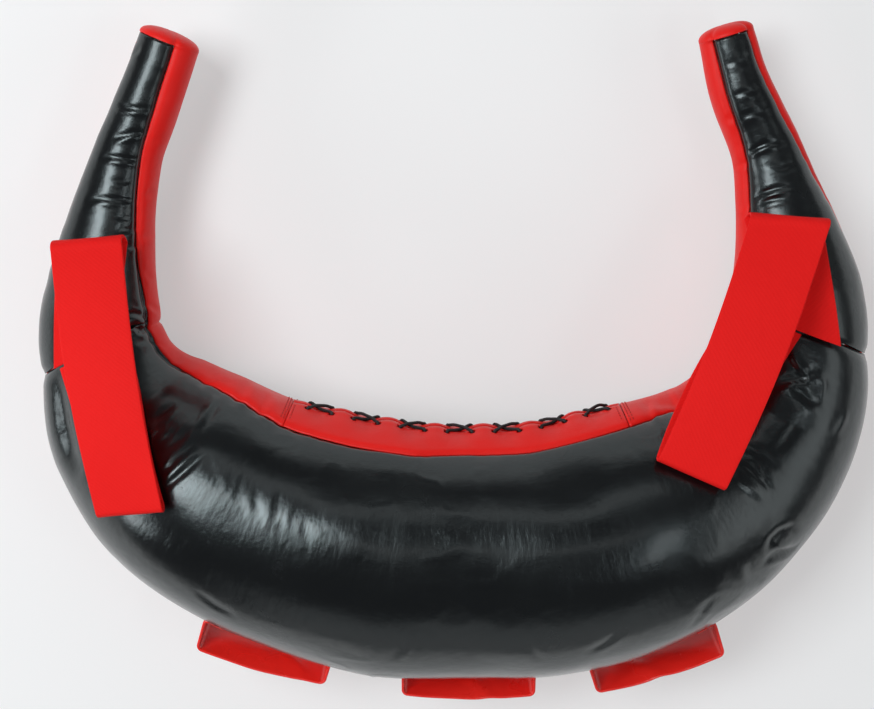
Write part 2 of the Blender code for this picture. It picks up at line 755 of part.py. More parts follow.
def cover_heights(rows, low, high):
    """Heights of the front layer, which bows up for the hand between its two folds."""
    bottom, bottom_slope = slope_line(low[-1], STRAP_WIDTH)
    top, top_slope = slope_line(high[-1], STRAP_WIDTH)
    bottom += STRAP_BOTTOM_GAP + WEBBING_THICKNESS
    top += STRAP_TOP_GAP + WEBBING_THICKNESS
    heights = []
    for i, row in enumerate(rows):
        share = i / (len(rows) - 1)
        middle = bottom + (top - bottom) * share + STRAP_BOW * math.sin(math.pi * share)
        slope = bottom_slope + (top_slope - bottom_slope) * share
        heights.append([middle + slope * w for w in spread(-STRAP_WIDTH / 2, STRAP_WIDTH / 2, STRAP_COLUMNS)])
    return heights


def raised(rows, heights):
    return [[Vector((p.x, p.y, h)) for p, h in zip(*pair)] for pair in zip(rows, heights)]


def build_hand_strap(collection, material, tree, word, top, bottom, fold_degrees, asides, cross):
    """A strip of webbing folded over at both ends, with its two tails sewn into the cross seam.

    asides move the lower and the upper tail along the seam from where straight webbing would meet it.
    """
    along = (top - bottom).normalized()
    side = Vector((along.y, -along.x, 0.0))
    half = STRAP_WIDTH / 2
    turn = math.radians(fold_degrees)
    fold = Vector((math.cos(turn), math.sin(turn), 0.0))
    low = (bottom - side * half, bottom + side * half)
    high = (top - fold * (half / fold.dot(side)), top + fold * (half / fold.dot(side)))
    point, direction = seam_line(cross)
    sewn = [meet(a, b, point, direction) for a, b in zip(low, high)]
    away = along * (STRAP_END_GAP / 2)
    tails = [[p + direction * aside for p in sewn] for aside in asides]
    under = quad_rows([p - away for p in tails[0]], low, spread(0.0, 1.0, STRAP_ROWS_BELOW))
    over = quad_rows([p + away for p in tails[1]], high, spread(0.0, 1.0, STRAP_ROWS_ABOVE))
    front = quad_rows(low, high, spread(0.0, 1.0, STRAP_ROWS_FRONT))
    under_heights = laid_heights(tree, under, STRAP_PRESS_DEGREES)
    over_heights = laid_heights(tree, over, STRAP_LIFT_DEGREES)
    laid_under = raised(under, under_heights)
    laid_over = raised(over, over_heights)
    cover = raised(front, cover_heights(front, under_heights, over_heights))
    rows = laid_under + fold_rows(laid_under[-1], cover[0], -along)
    rows += cover + fold_rows(cover[-1], laid_over[-1], along) + list(reversed(laid_over))
    seam = (laid_under[0][STRAP_COLUMNS // 2] + laid_over[0][STRAP_COLUMNS // 2]) / 2
    seam = seam - Vector((0, 0, WEBBING_THICKNESS / 2 + STRAP_SEAT_GAP))
    pivot = bpy.data.objects.new("hand_strap_seam_" + word, None)
    pivot.location = seam
    pivot.rotation_euler.z = math.atan2(direction.y, direction.x)
    pivot.empty_display_size = half
    collection.objects.link(pivot)
    back = Matrix.Rotation(-pivot.rotation_euler.z, 3, "Z")
    item = grid_object("hand_strap_" + word, [[back @ (p - seam) for p in row] for row in rows], False,
                       material, collection, WEBBING_THICKNESS, 0.0)
    item.parent = pivot


def fold_rows(start, end, ahead):
    """The half turn of webbing between two layers."""
    rows = []
    for k in range(1, 6):
        turn = math.pi * k / 6
        row = []
        for a, b in zip(start, end):
            middle = (a + b) / 2
            radius = (b - a).length / 2
            up = (b - a).normalized()
            row.append(middle - up * (radius * math.cos(turn)) + ahead * (radius * math.sin(turn)))
        rows.append(row)
    return rows


def loop_frame(station):
    angle = SPINE.strip_turn(station)
    origin = bag_point(station, angle)
    along = SPINE.tangent(station)
    out = (SPINE.outward(station) * math.cos(angle) + Vector((0, 0, 1)) * math.sin(angle)).normalized()
    side = along.cross(out).normalized()
    return origin, along, out, side


def loop_seat(tree, origin, along, out, side, t):
    """Height and sideways slope of a foot's row that lies on the strip and can still rock on it."""
    places = spread(-LOOP_WIDTH / 2, LOOP_WIDTH / 2, SEAT_SAMPLE_COUNT)
    heights = []
    for w in places:
        hit = tree.ray_cast(origin + along * t + side * w + out * BODY_RADIUS, -out)
        heights.append((hit[0] - origin).dot(out))
    slope = (heights[-1] - heights[0]) / LOOP_WIDTH
    height = max(h - slope * w for h, w in zip(heights, places))
    return height + LOOP_SEAT_GAP + WEBBING_THICKNESS / 2, slope


def loop_profile(tree, origin, along, out, side, standoff):
    """The loop's path as place, height and slope: foot, side, grip, side, foot. The grip leans out."""
    half = LOOP_LENGTH / 2
    corner = LOOP_CORNER
    lean = -math.tan(math.radians(LOOP_LEAN_DEGREES))
    seats = [loop_seat(tree, origin, along, out, side, end * half)[0] for end in (-1, 1)]
    grip = standoff + sum(seats) / 2 - LOOP_SEAT_GAP - WEBBING_THICKNESS
    ends = []
    for end in (-1, 1):
        foot = []
        for t in spread(half - LOOP_FOOT, half - 1.5 * corner, SEAT_ROW_COUNT):
            foot.append((end * t, *loop_seat(tree, origin, along, out, side, end * t)))
        base, slope = loop_seat(tree, origin, along, out, side, end * (half - corner))
        for turn in spread(0.0, math.pi / 2, 4):
            foot.append((end * (half - corner + corner * math.sin(turn)),
                         base + corner / 2 * (1 - math.cos(turn)), slope))
        for turn in spread(0.0, math.pi / 2, 4):
            foot.append((end * (half - corner * (1 - math.cos(turn))),
                         grip - corner * (1 - math.sin(turn)), lean))
        ends.append(foot)
    inner = [(t, grip, lean) for t in spread(-half + 3 * corner, half - 3 * corner, 4)]
    return ends[0] + inner + list(reversed(ends[1]))


def build_base_loop(collection, material, tree, word, station, standoff):
    """A loop whose pivot lies on the line between its two sewn feet."""
    origin, along, out, side = loop_frame(station)
    path = loop_profile(tree, origin, along, out, side, standoff)
    sewn = out * ((path[0][1] + path[-1][1]) / 2)
    rows = []
    for t, h, slope in path:
        rows.append([along * t + out * (h + slope * w) + side * w - sewn
                     for w in spread(LOOP_WIDTH / 2, -LOOP_WIDTH / 2, 4)])
    pivot = bpy.data.objects.new("base_loop_seam_" + word, None)
    pivot.location = origin + sewn
    pivot.empty_display_size = LOOP_WIDTH / 2
    collection.objects.link(pivot)
    item = grid_object("base_loop_" + word, rows, False, material, collection, WEBBING_THICKNESS, 0.0)
    item.parent = pivot


def filling_inset(s, angle):
    """Depth of the filling below the skin's face, deeper under the placket's tongue."""
    inset = SKIN_THICKNESS + FILLING_CLEARANCE
    across = (angle - math.pi - SPINE.gusset_turn(s)) * SPINE.radius(s)
    half = SPINE.gusset_half_angle(s) * SPINE.radius(s)
    if abs(across) < half * 1.12 and abs(s) < PLACKET_HALF_LENGTH + SEAM_GAP:
        inset = max(inset, tongue_inset(s, across) + TONGUE_THICKNESS + FILLING_CLEARANCE)
    return inset


def filling_angles(s):
    """Angles round the section in the same steps as the skin, each from the outer, 0, to the inner, 1."""
    seams = seam_angles(s)
    turned = seams[0] + 2 * math.pi
    places = []
    for start, end, count, first, last in ((seams[0], seams[1], PANEL_COLUMNS, 0.0, 1.0),
                                           (seams[1], seams[2], GUSSET_COLUMNS, 1.0, 1.0),
                                           (seams[2], seams[3], PANEL_COLUMNS, 1.0, 0.0),
                                           (seams[3], turned, STRIP_COLUMNS, 0.0, 0.0)):
        shares = spread(0.0, 1.0, count) if first == last else eased(0.0, 1.0, count)
        places += [(start + (end - start) * v, first + (last - first) * v) for v in shares[:-1]]
    return places


def closed_loft(name, rings, tips, material, collection):
    """A closed solid through rings of points, with a point at each end."""
    mesh = bpy.data.meshes.new(name)
    bm = bmesh.new()
    made = [[bm.verts.new(p) for p in ring] for ring in rings]
    ends = [bm.verts.new(p) for p in tips]
    count = len(rings[0])
    for a, b in zip(made, made[1:]):
        for k in range(count):
            n = (k + 1) % count
            bm.faces.new((a[k], b[k], b[n], a[n]))
    for k in range(count):
        n = (k + 1) % count
        bm.faces.new((ends[0], made[0][k], made[0][n]))
        bm.faces.new((made[-1][k], ends[1], made[-1][n]))
    bmesh.ops.recalc_face_normals(bm, faces=bm.faces)
    bm.to_mesh(mesh)
    bm.free()
    mesh.materials.append(material)
    mesh.shade_smooth()
    item = bpy.data.objects.new(name, mesh)
    collection.objects.link(item)
    return item


def filling_ring(s, extra=0.0, dome=0.0):
    return [bag_point(s + slant(s, inner), angle, filling_inset(s, angle) + extra, dome)
            for angle, inner in filling_angles(s)]


def cap_centre(s):
    """The middle of a filling's slanted end."""
    return SPINE.centre(s + slant(s, 0.5))


def build_liner(collection, material):
    """The inner bag of sand that fills the body up to both cross seams."""
    left = CROSS_SEAM_LEFT + FILLING_END_GAP
    right = CROSS_SEAM_RIGHT - FILLING_END_GAP
    rings = [filling_ring(left, FILLING_END_INSET)]
    rings += [filling_ring(s) for s in body_stations()[1:-1]]
    rings += [filling_ring(right, FILLING_END_INSET)]
    closed_loft("sand_liner", rings, (cap_centre(left), cap_centre(right)), material, collection)


def build_stuffing(collection, material, word, tip, cross):
    """The fibre that fills a horn from its cross seam to its tip."""
    toward = 1 if tip > 0 else -1
    ahead = SPINE.tangent(tip) * toward
    foot = cross + toward * FILLING_END_GAP
    stations = list(reversed(horn_stations(tip, cross)[1:]))
    rings = [[p - ahead * FILLING_CLEARANCE for p in filling_ring(tip, 0.0, math.pi / 4)]]
    rings += [filling_ring(s) for s in stations]
    rings += [filling_ring(foot, FILLING_END_INSET)]
    depth = TIP_DOME - SKIN_THICKNESS - FILLING_CLEARANCE
    ends = (SPINE.centre(tip) + ahead * depth, cap_centre(foot))
    closed_loft("horn_stuffing_" + word, rings, ends, material, collection)


def main():
    clear_scene()
    collection = make_collection("sandbag_trainer")
    cutters = make_collection("sandbag_trainer_cutters")
    black = make_material("gloss_black_skin", BLACK, 0.22, 0.4)
    red = make_material("red_skin", RED, 0.35, 0.2)
    webbing = make_material("red_webbing", WEB_RED, 0.62)
    lace = make_material("black_cord", LACE_BLACK, 0.7)
    tongue = make_material("dark_red_lining", TONGUE_RED, 0.6)
    liner = make_material("tan_liner_cloth", LINER_TAN, 0.85)
    fibre = make_material("white_fibre", FIBRE_WHITE, 0.95)

    build_panels(collection, black)
    build_gusset(collection, red, "left", SPINE.start, CROSS_SEAM_LEFT, -PLACKET_HALF_LENGTH)
    build_gusset(collection, red, "right", SPINE.end, CROSS_SEAM_RIGHT, PLACKET_HALF_LENGTH)
    build_outer_strip(collection, red)
    build_placket(collection, cutters, red)
    build_tongue(collection, tongue)
    build_lace(collection, lace)

    tree = bag_surface()
    build_hand_strap(collection, webbing, tree, "left",
                     strap_end(CROSS_SEAM_LEFT, LEFT_STRAP_TOP_ASIDE, LEFT_STRAP_TOP_AHEAD),
                     strap_end(CROSS_SEAM_LEFT, LEFT_STRAP_BOTTOM_ASIDE, -LEFT_STRAP_BOTTOM_BEHIND),
                     LEFT_STRAP_FOLD_DEGREES, (LEFT_STRAP_UNDER_ASIDE, LEFT_STRAP_TAIL_ASIDE), CROSS_SEAM_LEFT)
    build_hand_strap(collection, webbing, tree, "right",
                     strap_end(CROSS_SEAM_RIGHT, RIGHT_STRAP_TOP_ASIDE, RIGHT_STRAP_TOP_AHEAD),
                     strap_end(CROSS_SEAM_RIGHT, RIGHT_STRAP_BOTTOM_ASIDE, -RIGHT_STRAP_BOTTOM_BEHIND),
                     RIGHT_STRAP_FOLD_DEGREES, (RIGHT_STRAP_UNDER_ASIDE, RIGHT_STRAP_TAIL_ASIDE),
                     CROSS_SEAM_RIGHT)
    build_base_loop(collection, webbing, tree, "left", LEFT_LOOP_PLACE, LEFT_LOOP_STANDOFF)
    build_base_loop(collection, webbing, tree, "centre", CENTRE_LOOP_PLACE, CENTRE_LOOP_STANDOFF)
    build_base_loop(collection, webbing, tree, "right", RIGHT_LOOP_PLACE, RIGHT_LOOP_STANDOFF)

    build_liner(collection, liner)
    build_stuffing(collection, fibre, "left", SPINE.start, CROSS_SEAM_LEFT)
    build_stuffing(collection, fibre, "right", SPINE.end, CROSS_SEAM_RIGHT)


main()
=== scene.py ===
"""Looks for the crescent sandbag trainer: sewn gloss skin, webbing, lace and filling."""
import itertools
import math

import bmesh
import bpy
import numpy as np
from mathutils import Matrix, Vector
from mathutils.bvhtree import BVHTree


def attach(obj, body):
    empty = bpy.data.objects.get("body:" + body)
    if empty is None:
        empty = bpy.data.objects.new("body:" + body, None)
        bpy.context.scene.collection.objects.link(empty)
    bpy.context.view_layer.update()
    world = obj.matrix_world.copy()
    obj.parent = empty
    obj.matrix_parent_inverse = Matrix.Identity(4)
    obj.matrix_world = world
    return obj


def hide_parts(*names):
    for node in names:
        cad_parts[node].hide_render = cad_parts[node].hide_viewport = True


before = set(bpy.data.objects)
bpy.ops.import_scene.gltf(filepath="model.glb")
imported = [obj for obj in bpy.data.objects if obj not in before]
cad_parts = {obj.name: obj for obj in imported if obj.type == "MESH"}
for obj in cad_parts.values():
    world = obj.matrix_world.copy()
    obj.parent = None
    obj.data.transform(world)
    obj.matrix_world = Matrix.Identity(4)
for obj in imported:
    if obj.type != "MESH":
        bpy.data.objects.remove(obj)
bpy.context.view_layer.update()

# ---------------------------------------------------------------- sizes shared with the solids
HORN_SPREAD = 0.240
HORN_REACH = 0.350
BODY_RADIUS = 0.088
HORN_TIP_HEIGHT = 0.046
HORN_FOOT_HEIGHT = 0.056
HORN_FOOT_RADIUS = 0.060
REST_FLAT_SHARE = 0.07
SKIN_THICKNESS = 0.0015
SEAM_GAP = 0.0006
GUSSET_WIDTH = 0.076
OUTER_STRIP_WIDTH = 0.030
CROSS_SEAM_RISE = 0.030
CROSS_SEAM_FADE = 0.050
CROSS_SEAM_LEFT = -0.297
CROSS_SEAM_RIGHT = 0.307
TIP_DOME = 0.0068
TIP_COLLAR = 0.0012
PLACKET_HALF_LENGTH = 0.151
SLIT_WIDTH = 0.0036
CROSS_COUNT = 7
CROSS_PITCH = 0.0327
CROSS_SHIFT = 0.003
CROSS_HALF_LENGTH = 0.0088
CROSS_HALF_WIDTH = 0.008
SCALLOP_HEIGHT = 0.0034
SCALLOP_DIP = 0.0010
LACE_DIAMETER = 0.0022
LACE_HOLE_DIAMETER = 0.0044
LACE_CLEARANCE = 0.0003
LACE_OVERLAP = 0.0003
LACE_TAIL = 0.0025
TONGUE_THICKNESS = 0.0012
TONGUE_WIDTH_SHARE = 0.80
WEBBING_THICKNESS = 0.0020
STRAP_WIDTH = 0.047
STRAP_SEAT_GAP = 0.0008
LOOP_SEAT_GAP = 0.0009
STRAP_LIFT_DEGREES = 11.0
STRAP_PRESS_DEGREES = 1.8
STRAP_TOP_GAP = 0.009
STRAP_BOW = 0.014
STRAP_BOTTOM_GAP = 0.005
STRAP_DRAPE_SHARE = 0.30
STRAP_END_GAP = 0.0015
# Name and cross seam; from the seam's middle, how far the top lies aside and ahead and the bottom aside and
# behind; the slant of the top fold in degrees; how far the under and the over layer shift along the seam
STRAPS = (
    ("left", CROSS_SEAM_LEFT, 0.0032, 0.0857, 0.0334, 0.0782, 4.7, -0.017, -0.022),
    ("right", CROSS_SEAM_RIGHT, -0.0217, 0.0907, -0.0852, 0.0641, -3.1, 0.017, 0.045),
)
LOOP_WIDTH = 0.040
LOOP_LENGTH = 0.094
LOOP_LEAN_DEGREES = 3.0
LOOP_FOOT = 0.014
LOOP_CORNER = 0.004
# Name, place on the centre line and clear height of the grip
LOOPS = (("left", -0.110, 0.024), ("centre", 0.0105, 0.018), ("right", 0.1150, 0.0265))

# ---------------------------------------------------------------- sizes of the visible cloth only
CLOTH_THICKNESS = 0.0012
BODY_CELL, HORN_CELL, STRIP_CELL, OUTER_CELL, FILLING_CELL = 0.0019, 0.0016, 0.0020, 0.0022, 0.005
INNER_COLUMNS, OUTER_COLUMNS, TIP_COLUMNS, TIP_RINGS = 18, 10, 22, 9
SECTION_TURNS = np.linspace(0, 2 * math.pi, 97)[:-1]
CREST_COUNT = 301
SCALLOP_SHARE = 0.36
# Depth and reach of the hollows that the seams draw into the skin
LONG_SEAM_HOLLOWS = ((0.0021, 0.0026), (0.0009, 0.010))
CROSS_SEAM_HOLLOWS = ((0.0018, 0.0030), (0.0013, 0.011))
GATHER_HEIGHT, GATHER_REACH = 0.0005, 0.011
# Radius where the body's lumps of sand begin, and how much wider the bag is where they are full
LUMP_START, LUMP_SPAN = 0.040, 0.030
# Pixels of the photograph between the points of a crease, and how far a crease reaches in its widths
CREASE_STEP, CREASE_REACH = 4, 4.5
TIP_CORNER, TIP_CORNER_REACH = 0.040, 0.28
HEM_HEIGHT, HEM_PLACE, HEM_REACH = 0.0006, 0.0045, 0.003
LACE_STEP, LACE_COLUMNS, BRAID_HEIGHT, BRAID_PITCH = 0.00075, 12, 0.07, 0.0042
STRAP_COLUMNS, STRAP_UNDER_ROWS, STRAP_OVER_ROWS, STRAP_FRONT_ROWS, FOLD_STEPS = 18, 44, 36, 84, 12
STRAP_CUP = 0.0016
LOOP_SAG, LOOP_RIPPLE, LOOP_CURL, LOOP_FOLD = 0.0014, 0.0003, 0.0030, 0.0011
STITCH_LENGTH, STITCH_GAP, STITCH_SIZE = 0.0026, 0.0012, 0.0008
STITCH_LIFTS, STITCH_REACHES = (0.25, 0.62, 0.75, 0.62, 0.25), (0.35, 0.9, 1.0, 0.9, 0.35)
FILLING_GAP, HORN_END_GAP = 0.008, 0.004
LINER_DEPTH, FIBRE_DEPTH = 0.0085, 0.0050
FILLING_FLOOR = 0.0035
FLOOR_REACH, FLOOR_DROP = 25.0, 0.0006

# Centre line rows: sideways share, reach share, radius share, gusset width share, two turns
SHARES = np.array((
    (-0.812, 0.998, 0.245, 0.50, -0.19, -0.32),
    (-0.888, 0.868, 0.256, 0.52, -0.14, -0.31),
    (-0.940, 0.784, 0.274, 0.55, -0.05, -0.28),
    (-1.000, 0.638, 0.355, 0.63, 0.05, -0.20),
    (-1.035, 0.484, 0.465, 0.70, 0.11, -0.13),
    (-1.022, 0.364, 0.545, 0.77, 0.13, -0.11),
    (-0.950, 0.260, 0.719, 0.85, 0.12, -0.09),
    (-0.800, 0.163, 0.880, 0.93, 0.08, -0.09),
    (-0.570, 0.074, 0.950, 1.00, 0.03, -0.09),
    (-0.185, 0.003, 1.008, 1.00, 0.00, -0.09),
    (0.0, -0.005, 0.998, 0.88, 0.00, -0.09),
    (0.292, 0.004, 1.004, 0.85, 0.00, -0.09),
    (0.622, 0.074, 0.945, 1.00, 0.08, -0.09),
    (0.828, 0.161, 0.812, 0.93, 0.13, -0.09),
    (0.945, 0.267, 0.700, 0.85, 0.10, -0.10),
    (0.995, 0.388, 0.592, 0.77, 0.10, -0.11),
    (0.994, 0.504, 0.525, 0.71, 0.11, -0.12),
    (0.975, 0.590, 0.443, 0.66, 0.12, -0.13),
    (0.931, 0.703, 0.337, 0.60, 0.16, -0.10),
    (0.889, 0.796, 0.271, 0.55, 0.15, -0.04),
    (0.810, 0.911, 0.241, 0.52, 0.06, -0.04),
    (0.765, 1.010, 0.217, 0.50, 0.15, -0.03),
))
MIDDLE_ROW = 10

# ---------------------------------------------------------------- camera, as the photograph was taken
FRAME_WIDTH, FRAME_HEIGHT = 874, 709
LENS_MM, SENSOR_MM = 60.0, 36.0
CAMERA_PLACE = Vector((-0.0127, 0.3477, 1.0581))
CAMERA_TARGET = Vector((-0.0127, 0.1402, 0.0820))


def make_camera():
    data = bpy.data.cameras.new("photo_camera")
    data.lens = LENS_MM
    data.sensor_width = SENSOR_MM
    item = put("photo_camera", data)
    item.location = CAMERA_PLACE
    right, up, ahead = camera_axes()
    item.rotation_euler = Matrix((right, up, -ahead)).transposed().to_euler()
    bpy.context.scene.camera = item
    bpy.context.scene.view_settings.view_transform = "Standard"


def camera_axes():
    """The camera's right, up and forward directions; the horns point up in its frame."""
    ahead = (CAMERA_TARGET - CAMERA_PLACE).normalized()
    right = Vector((1, 0, 0))
    return right, right.cross(ahead).normalized(), ahead


def pixel_ray(px, py):
    """The camera's line of sight through a pixel of the photograph."""
    right, up, ahead = camera_axes()
    focal = LENS_MM / SENSOR_MM * FRAME_WIDTH
    line = ahead + right * ((px - FRAME_WIDTH / 2) / focal) - up * ((py - FRAME_HEIGHT / 2) / focal)
    return line.normalized()


# ---------------------------------------------------------------- the bag's form
def run_lengths(points, axis=0):
    """Distances along a line or a grid of points."""
    step = np.linalg.norm(np.diff(points, axis=axis), axis=-1)
    first = np.zeros_like(np.take(step, [0], axis=axis))
    return np.concatenate((first, np.cumsum(step, axis=axis)), axis=axis)


def bell(away, reach):
    """1 on a line, falling off smoothly beside it."""
    return np.exp(-(away / reach) ** 2)


def hermite(a, b, slope_a, slope_b, h, t):
    """A smooth curve from a to b over the length h, with a slope at both ends."""
    return (a * (2 * t ** 3 - 3 * t ** 2 + 1) + slope_a * (h * (t ** 3 - 2 * t ** 2 + t))
            + b * (3 * t ** 2 - 2 * t ** 3) + slope_b * (h * (t ** 3 - t ** 2)))


POINTS = SHARES[:, :2] * (HORN_SPREAD, HORN_REACH)
VALUES = SHARES[:, 2:] * (BODY_RADIUS, GUSSET_WIDTH, math.pi / 2, math.pi / 2)
STATIONS = run_lengths(POINTS) - run_lengths(POINTS)[MIDDLE_ROW]
START, END = STATIONS[0], STATIONS[-1]
UP = np.array((0.0, 0.0, 1.0))


def read(table, s):
    """Smooth reading of a table by distance along the centre line."""
    s = np.clip(np.asarray(s, float), START, END)
    k = np.clip(np.searchsorted(STATIONS, s, side="left") - 1, 0, len(STATIONS) - 2)
    high = np.minimum(np.arange(len(STATIONS)) + 1, len(STATIONS) - 1)
    low = np.maximum(np.arange(len(STATIONS)) - 1, 0)
    slopes = (table[high] - table[low]) / (STATIONS[high] - STATIONS[low])[:, None]
    h = (STATIONS[k + 1] - STATIONS[k])[..., None]
    t = (s - STATIONS[k])[..., None] / h
    return hermite(table[k], table[k + 1], slopes[k], slopes[k + 1], h, t)


def radius(s):
    """The bag's radius at a place along its centre line."""
    return read(VALUES, s)[..., 0]


def centre(s):
    flat = read(POINTS, s)
    r = radius(s)
    share = np.minimum(r / HORN_FOOT_RADIUS, 1.0)
    lifted = HORN_TIP_HEIGHT + (HORN_FOOT_HEIGHT - HORN_TIP_HEIGHT) * share ** 2
    return np.concatenate((flat, np.maximum(r * (1 - REST_FLAT_SHARE), lifted)[..., None]), axis=-1)


def tangent(s):
    step = (END - START) / 400
    run = read(POINTS, np.asarray(s) + step) - read(POINTS, np.asarray(s) - step)
    run = run / np.linalg.norm(run, axis=-1, keepdims=True)
    return np.concatenate((run, np.zeros(run.shape[:-1] + (1,))), axis=-1)


def outward(s):
    along = tangent(s)
    return np.stack((along[..., 1], -along[..., 0], np.zeros(along.shape[:-1])), axis=-1)


def seam_angles(s):
    """Front outer, front inner, back inner and back outer seams round the section."""
    v = read(VALUES, s)
    strip = OUTER_STRIP_WIDTH / 2 / v[..., 0]
    gusset = v[..., 1] / 2 / v[..., 0]
    return (strip + v[..., 3], math.pi - gusset + v[..., 2], math.pi + gusset + v[..., 2],
            2 * math.pi - strip + v[..., 3])


def slant(s, share):
    """How far the cross seams run up the horns at a share of the way to the inner edge."""
    rise = CROSS_SEAM_RISE * (1 - np.cos(math.pi * share)) / 2
    return rise * (bell(s - CROSS_SEAM_RIGHT, CROSS_SEAM_FADE) - bell(s - CROSS_SEAM_LEFT, CROSS_SEAM_FADE))


def inner_share(s, angle):
    """0 at the outer strip and 1 at the inner gusset, on the front and on the back."""
    outer, inner, back_inner, back_outer = seam_angles(s)
    turn = (angle - outer) % (2 * math.pi)
    front = turn / (inner - outer)
    back = (back_outer - outer - turn) / (back_outer - back_inner)
    return np.where(turn < inner - outer, front,
                    np.where(turn < back_inner - outer, 1.0, np.where(turn < back_outer - outer, back, 0.0)))


def seam_distance(s, angle):
    """Distance to the nearest long seam, in metres round the section, the same on both sides of it."""
    away = [np.abs((angle - seam + math.pi) % (2 * math.pi) - math.pi) for seam in seam_angles(s)]
    return np.min(away, axis=0) * radius(s)


def base_place(s, angle):
    """A point of the smooth bag and its outward direction."""
    way = outward(s) * np.cos(angle)[..., None] + UP * np.sin(angle)[..., None]
    return centre(s) + way * radius(s)[..., None], way


def crest_table():
    """Stations along the placket, and their distances along its slit from the middle row."""
    stations = np.linspace(-PLACKET_HALF_LENGTH, PLACKET_HALF_LENGTH, CREST_COUNT)
    points, _ = base_place(stations, math.pi + read(VALUES, stations)[:, 2])
    return stations, run_lengths(points) - run_lengths(points)[CREST_COUNT // 2]


CREST_STATIONS, CREST_LENGTHS = crest_table()


def crest_station(distance):
    return np.interp(distance, CREST_LENGTHS, CREST_STATIONS)


def scallop(s, angle):
    """The placket stands up between the crosses and is pulled down at each cross."""
    across = np.abs((angle - math.pi - read(VALUES, s)[..., 2]) * radius(s))
    fade = np.clip(1 - across / (GUSSET_WIDTH * SCALLOP_SHARE), 0, 1)
    edge = np.clip((PLACKET_HALF_LENGTH - np.abs(s)) / CROSS_PITCH, 0, 1)
    distance = np.interp(s, CREST_STATIONS, CREST_LENGTHS) - CROSS_SHIFT
    wave = 0.5 - 0.5 * np.cos(2 * math.pi * distance / CROSS_PITCH)
    lift = ((SCALLOP_HEIGHT + SCALLOP_DIP) * wave - SCALLOP_DIP) * fade * edge
    return np.where(np.abs(s) < PLACKET_HALF_LENGTH, lift, 0.0)


# ---------------------------------------------------------------- seeded noise in space
HASH_FACTORS = np.array((374761393, 668265263, 2147483647), dtype=np.uint32)


def hash_grid(cells, seed):
    """A fixed number from -1 to 1 for every whole place of a grid."""
    with np.errstate(over="ignore"):
        h = np.sum(cells.astype(np.uint32) * HASH_FACTORS, axis=-1, dtype=np.uint32)
        h = h + np.uint32(seed * 1274126177 % 4294967296)
        h = (h ^ (h >> np.uint32(13))) * np.uint32(1103515245)
        h = (h ^ (h >> np.uint32(16))) * np.uint32(2246822519)
        h = h ^ (h >> np.uint32(15))
    return h.astype(np.float64) / 4294967295.0 * 2 - 1


def noise(points, scale, seed):
    """Smooth value noise from -1 to 1 with the given wavelength in metres."""
    p = points / scale + 1000.0
    base = np.floor(p).astype(np.int64)
    f = p - base
    f = f * f * f * (f * (f * 6 - 15) + 10)
    total = 0.0
    for corner in itertools.product((0, 1), repeat=3):
        weight = np.prod(np.where(corner, f, 1 - f), axis=-1)
        total = total + weight * hash_grid(base + corner, seed)
    return total


def ridged(points, scale, seed):
    """Narrow soft ridges, like the small folds of a loose skin."""
    return 1 - np.abs(noise(points, scale, seed)) * 2


# ---------------------------------------------------------------- grids and the smooth bag
def grid_faces(rows, columns, ring=False, flip=False, start=0):
    """The faces of a grid of points, as a list. A ring closes across its columns."""
    i, k = np.meshgrid(np.arange(rows - 1), np.arange(columns if ring else columns - 1), indexing="ij")
    n = (k + 1) % columns
    quads = np.stack((i * columns + k, (i + 1) * columns + k, (i + 1) * columns + n, i * columns + n), axis=-1)
    quads = quads.reshape(-1, 4) + start
    return (quads[:, ::-1] if flip else quads).tolist()


def fan(start, count, tip, way=1):
    """Triangles from a closed ring of points to a tip."""
    return [[start + c, start + (c + 1) % count, tip][::way] for c in range(count)]


def smooth_tree():
    """The smooth bag as a tree, for finding where a line of sight meets it."""
    s, a = np.meshgrid(np.linspace(START, END, 420), SECTION_TURNS, indexing="ij")
    points, _ = base_place(s, a)
    return BVHTree.FromPolygons(points.reshape(-1, 3).tolist(), grid_faces(*s.shape, ring=True))


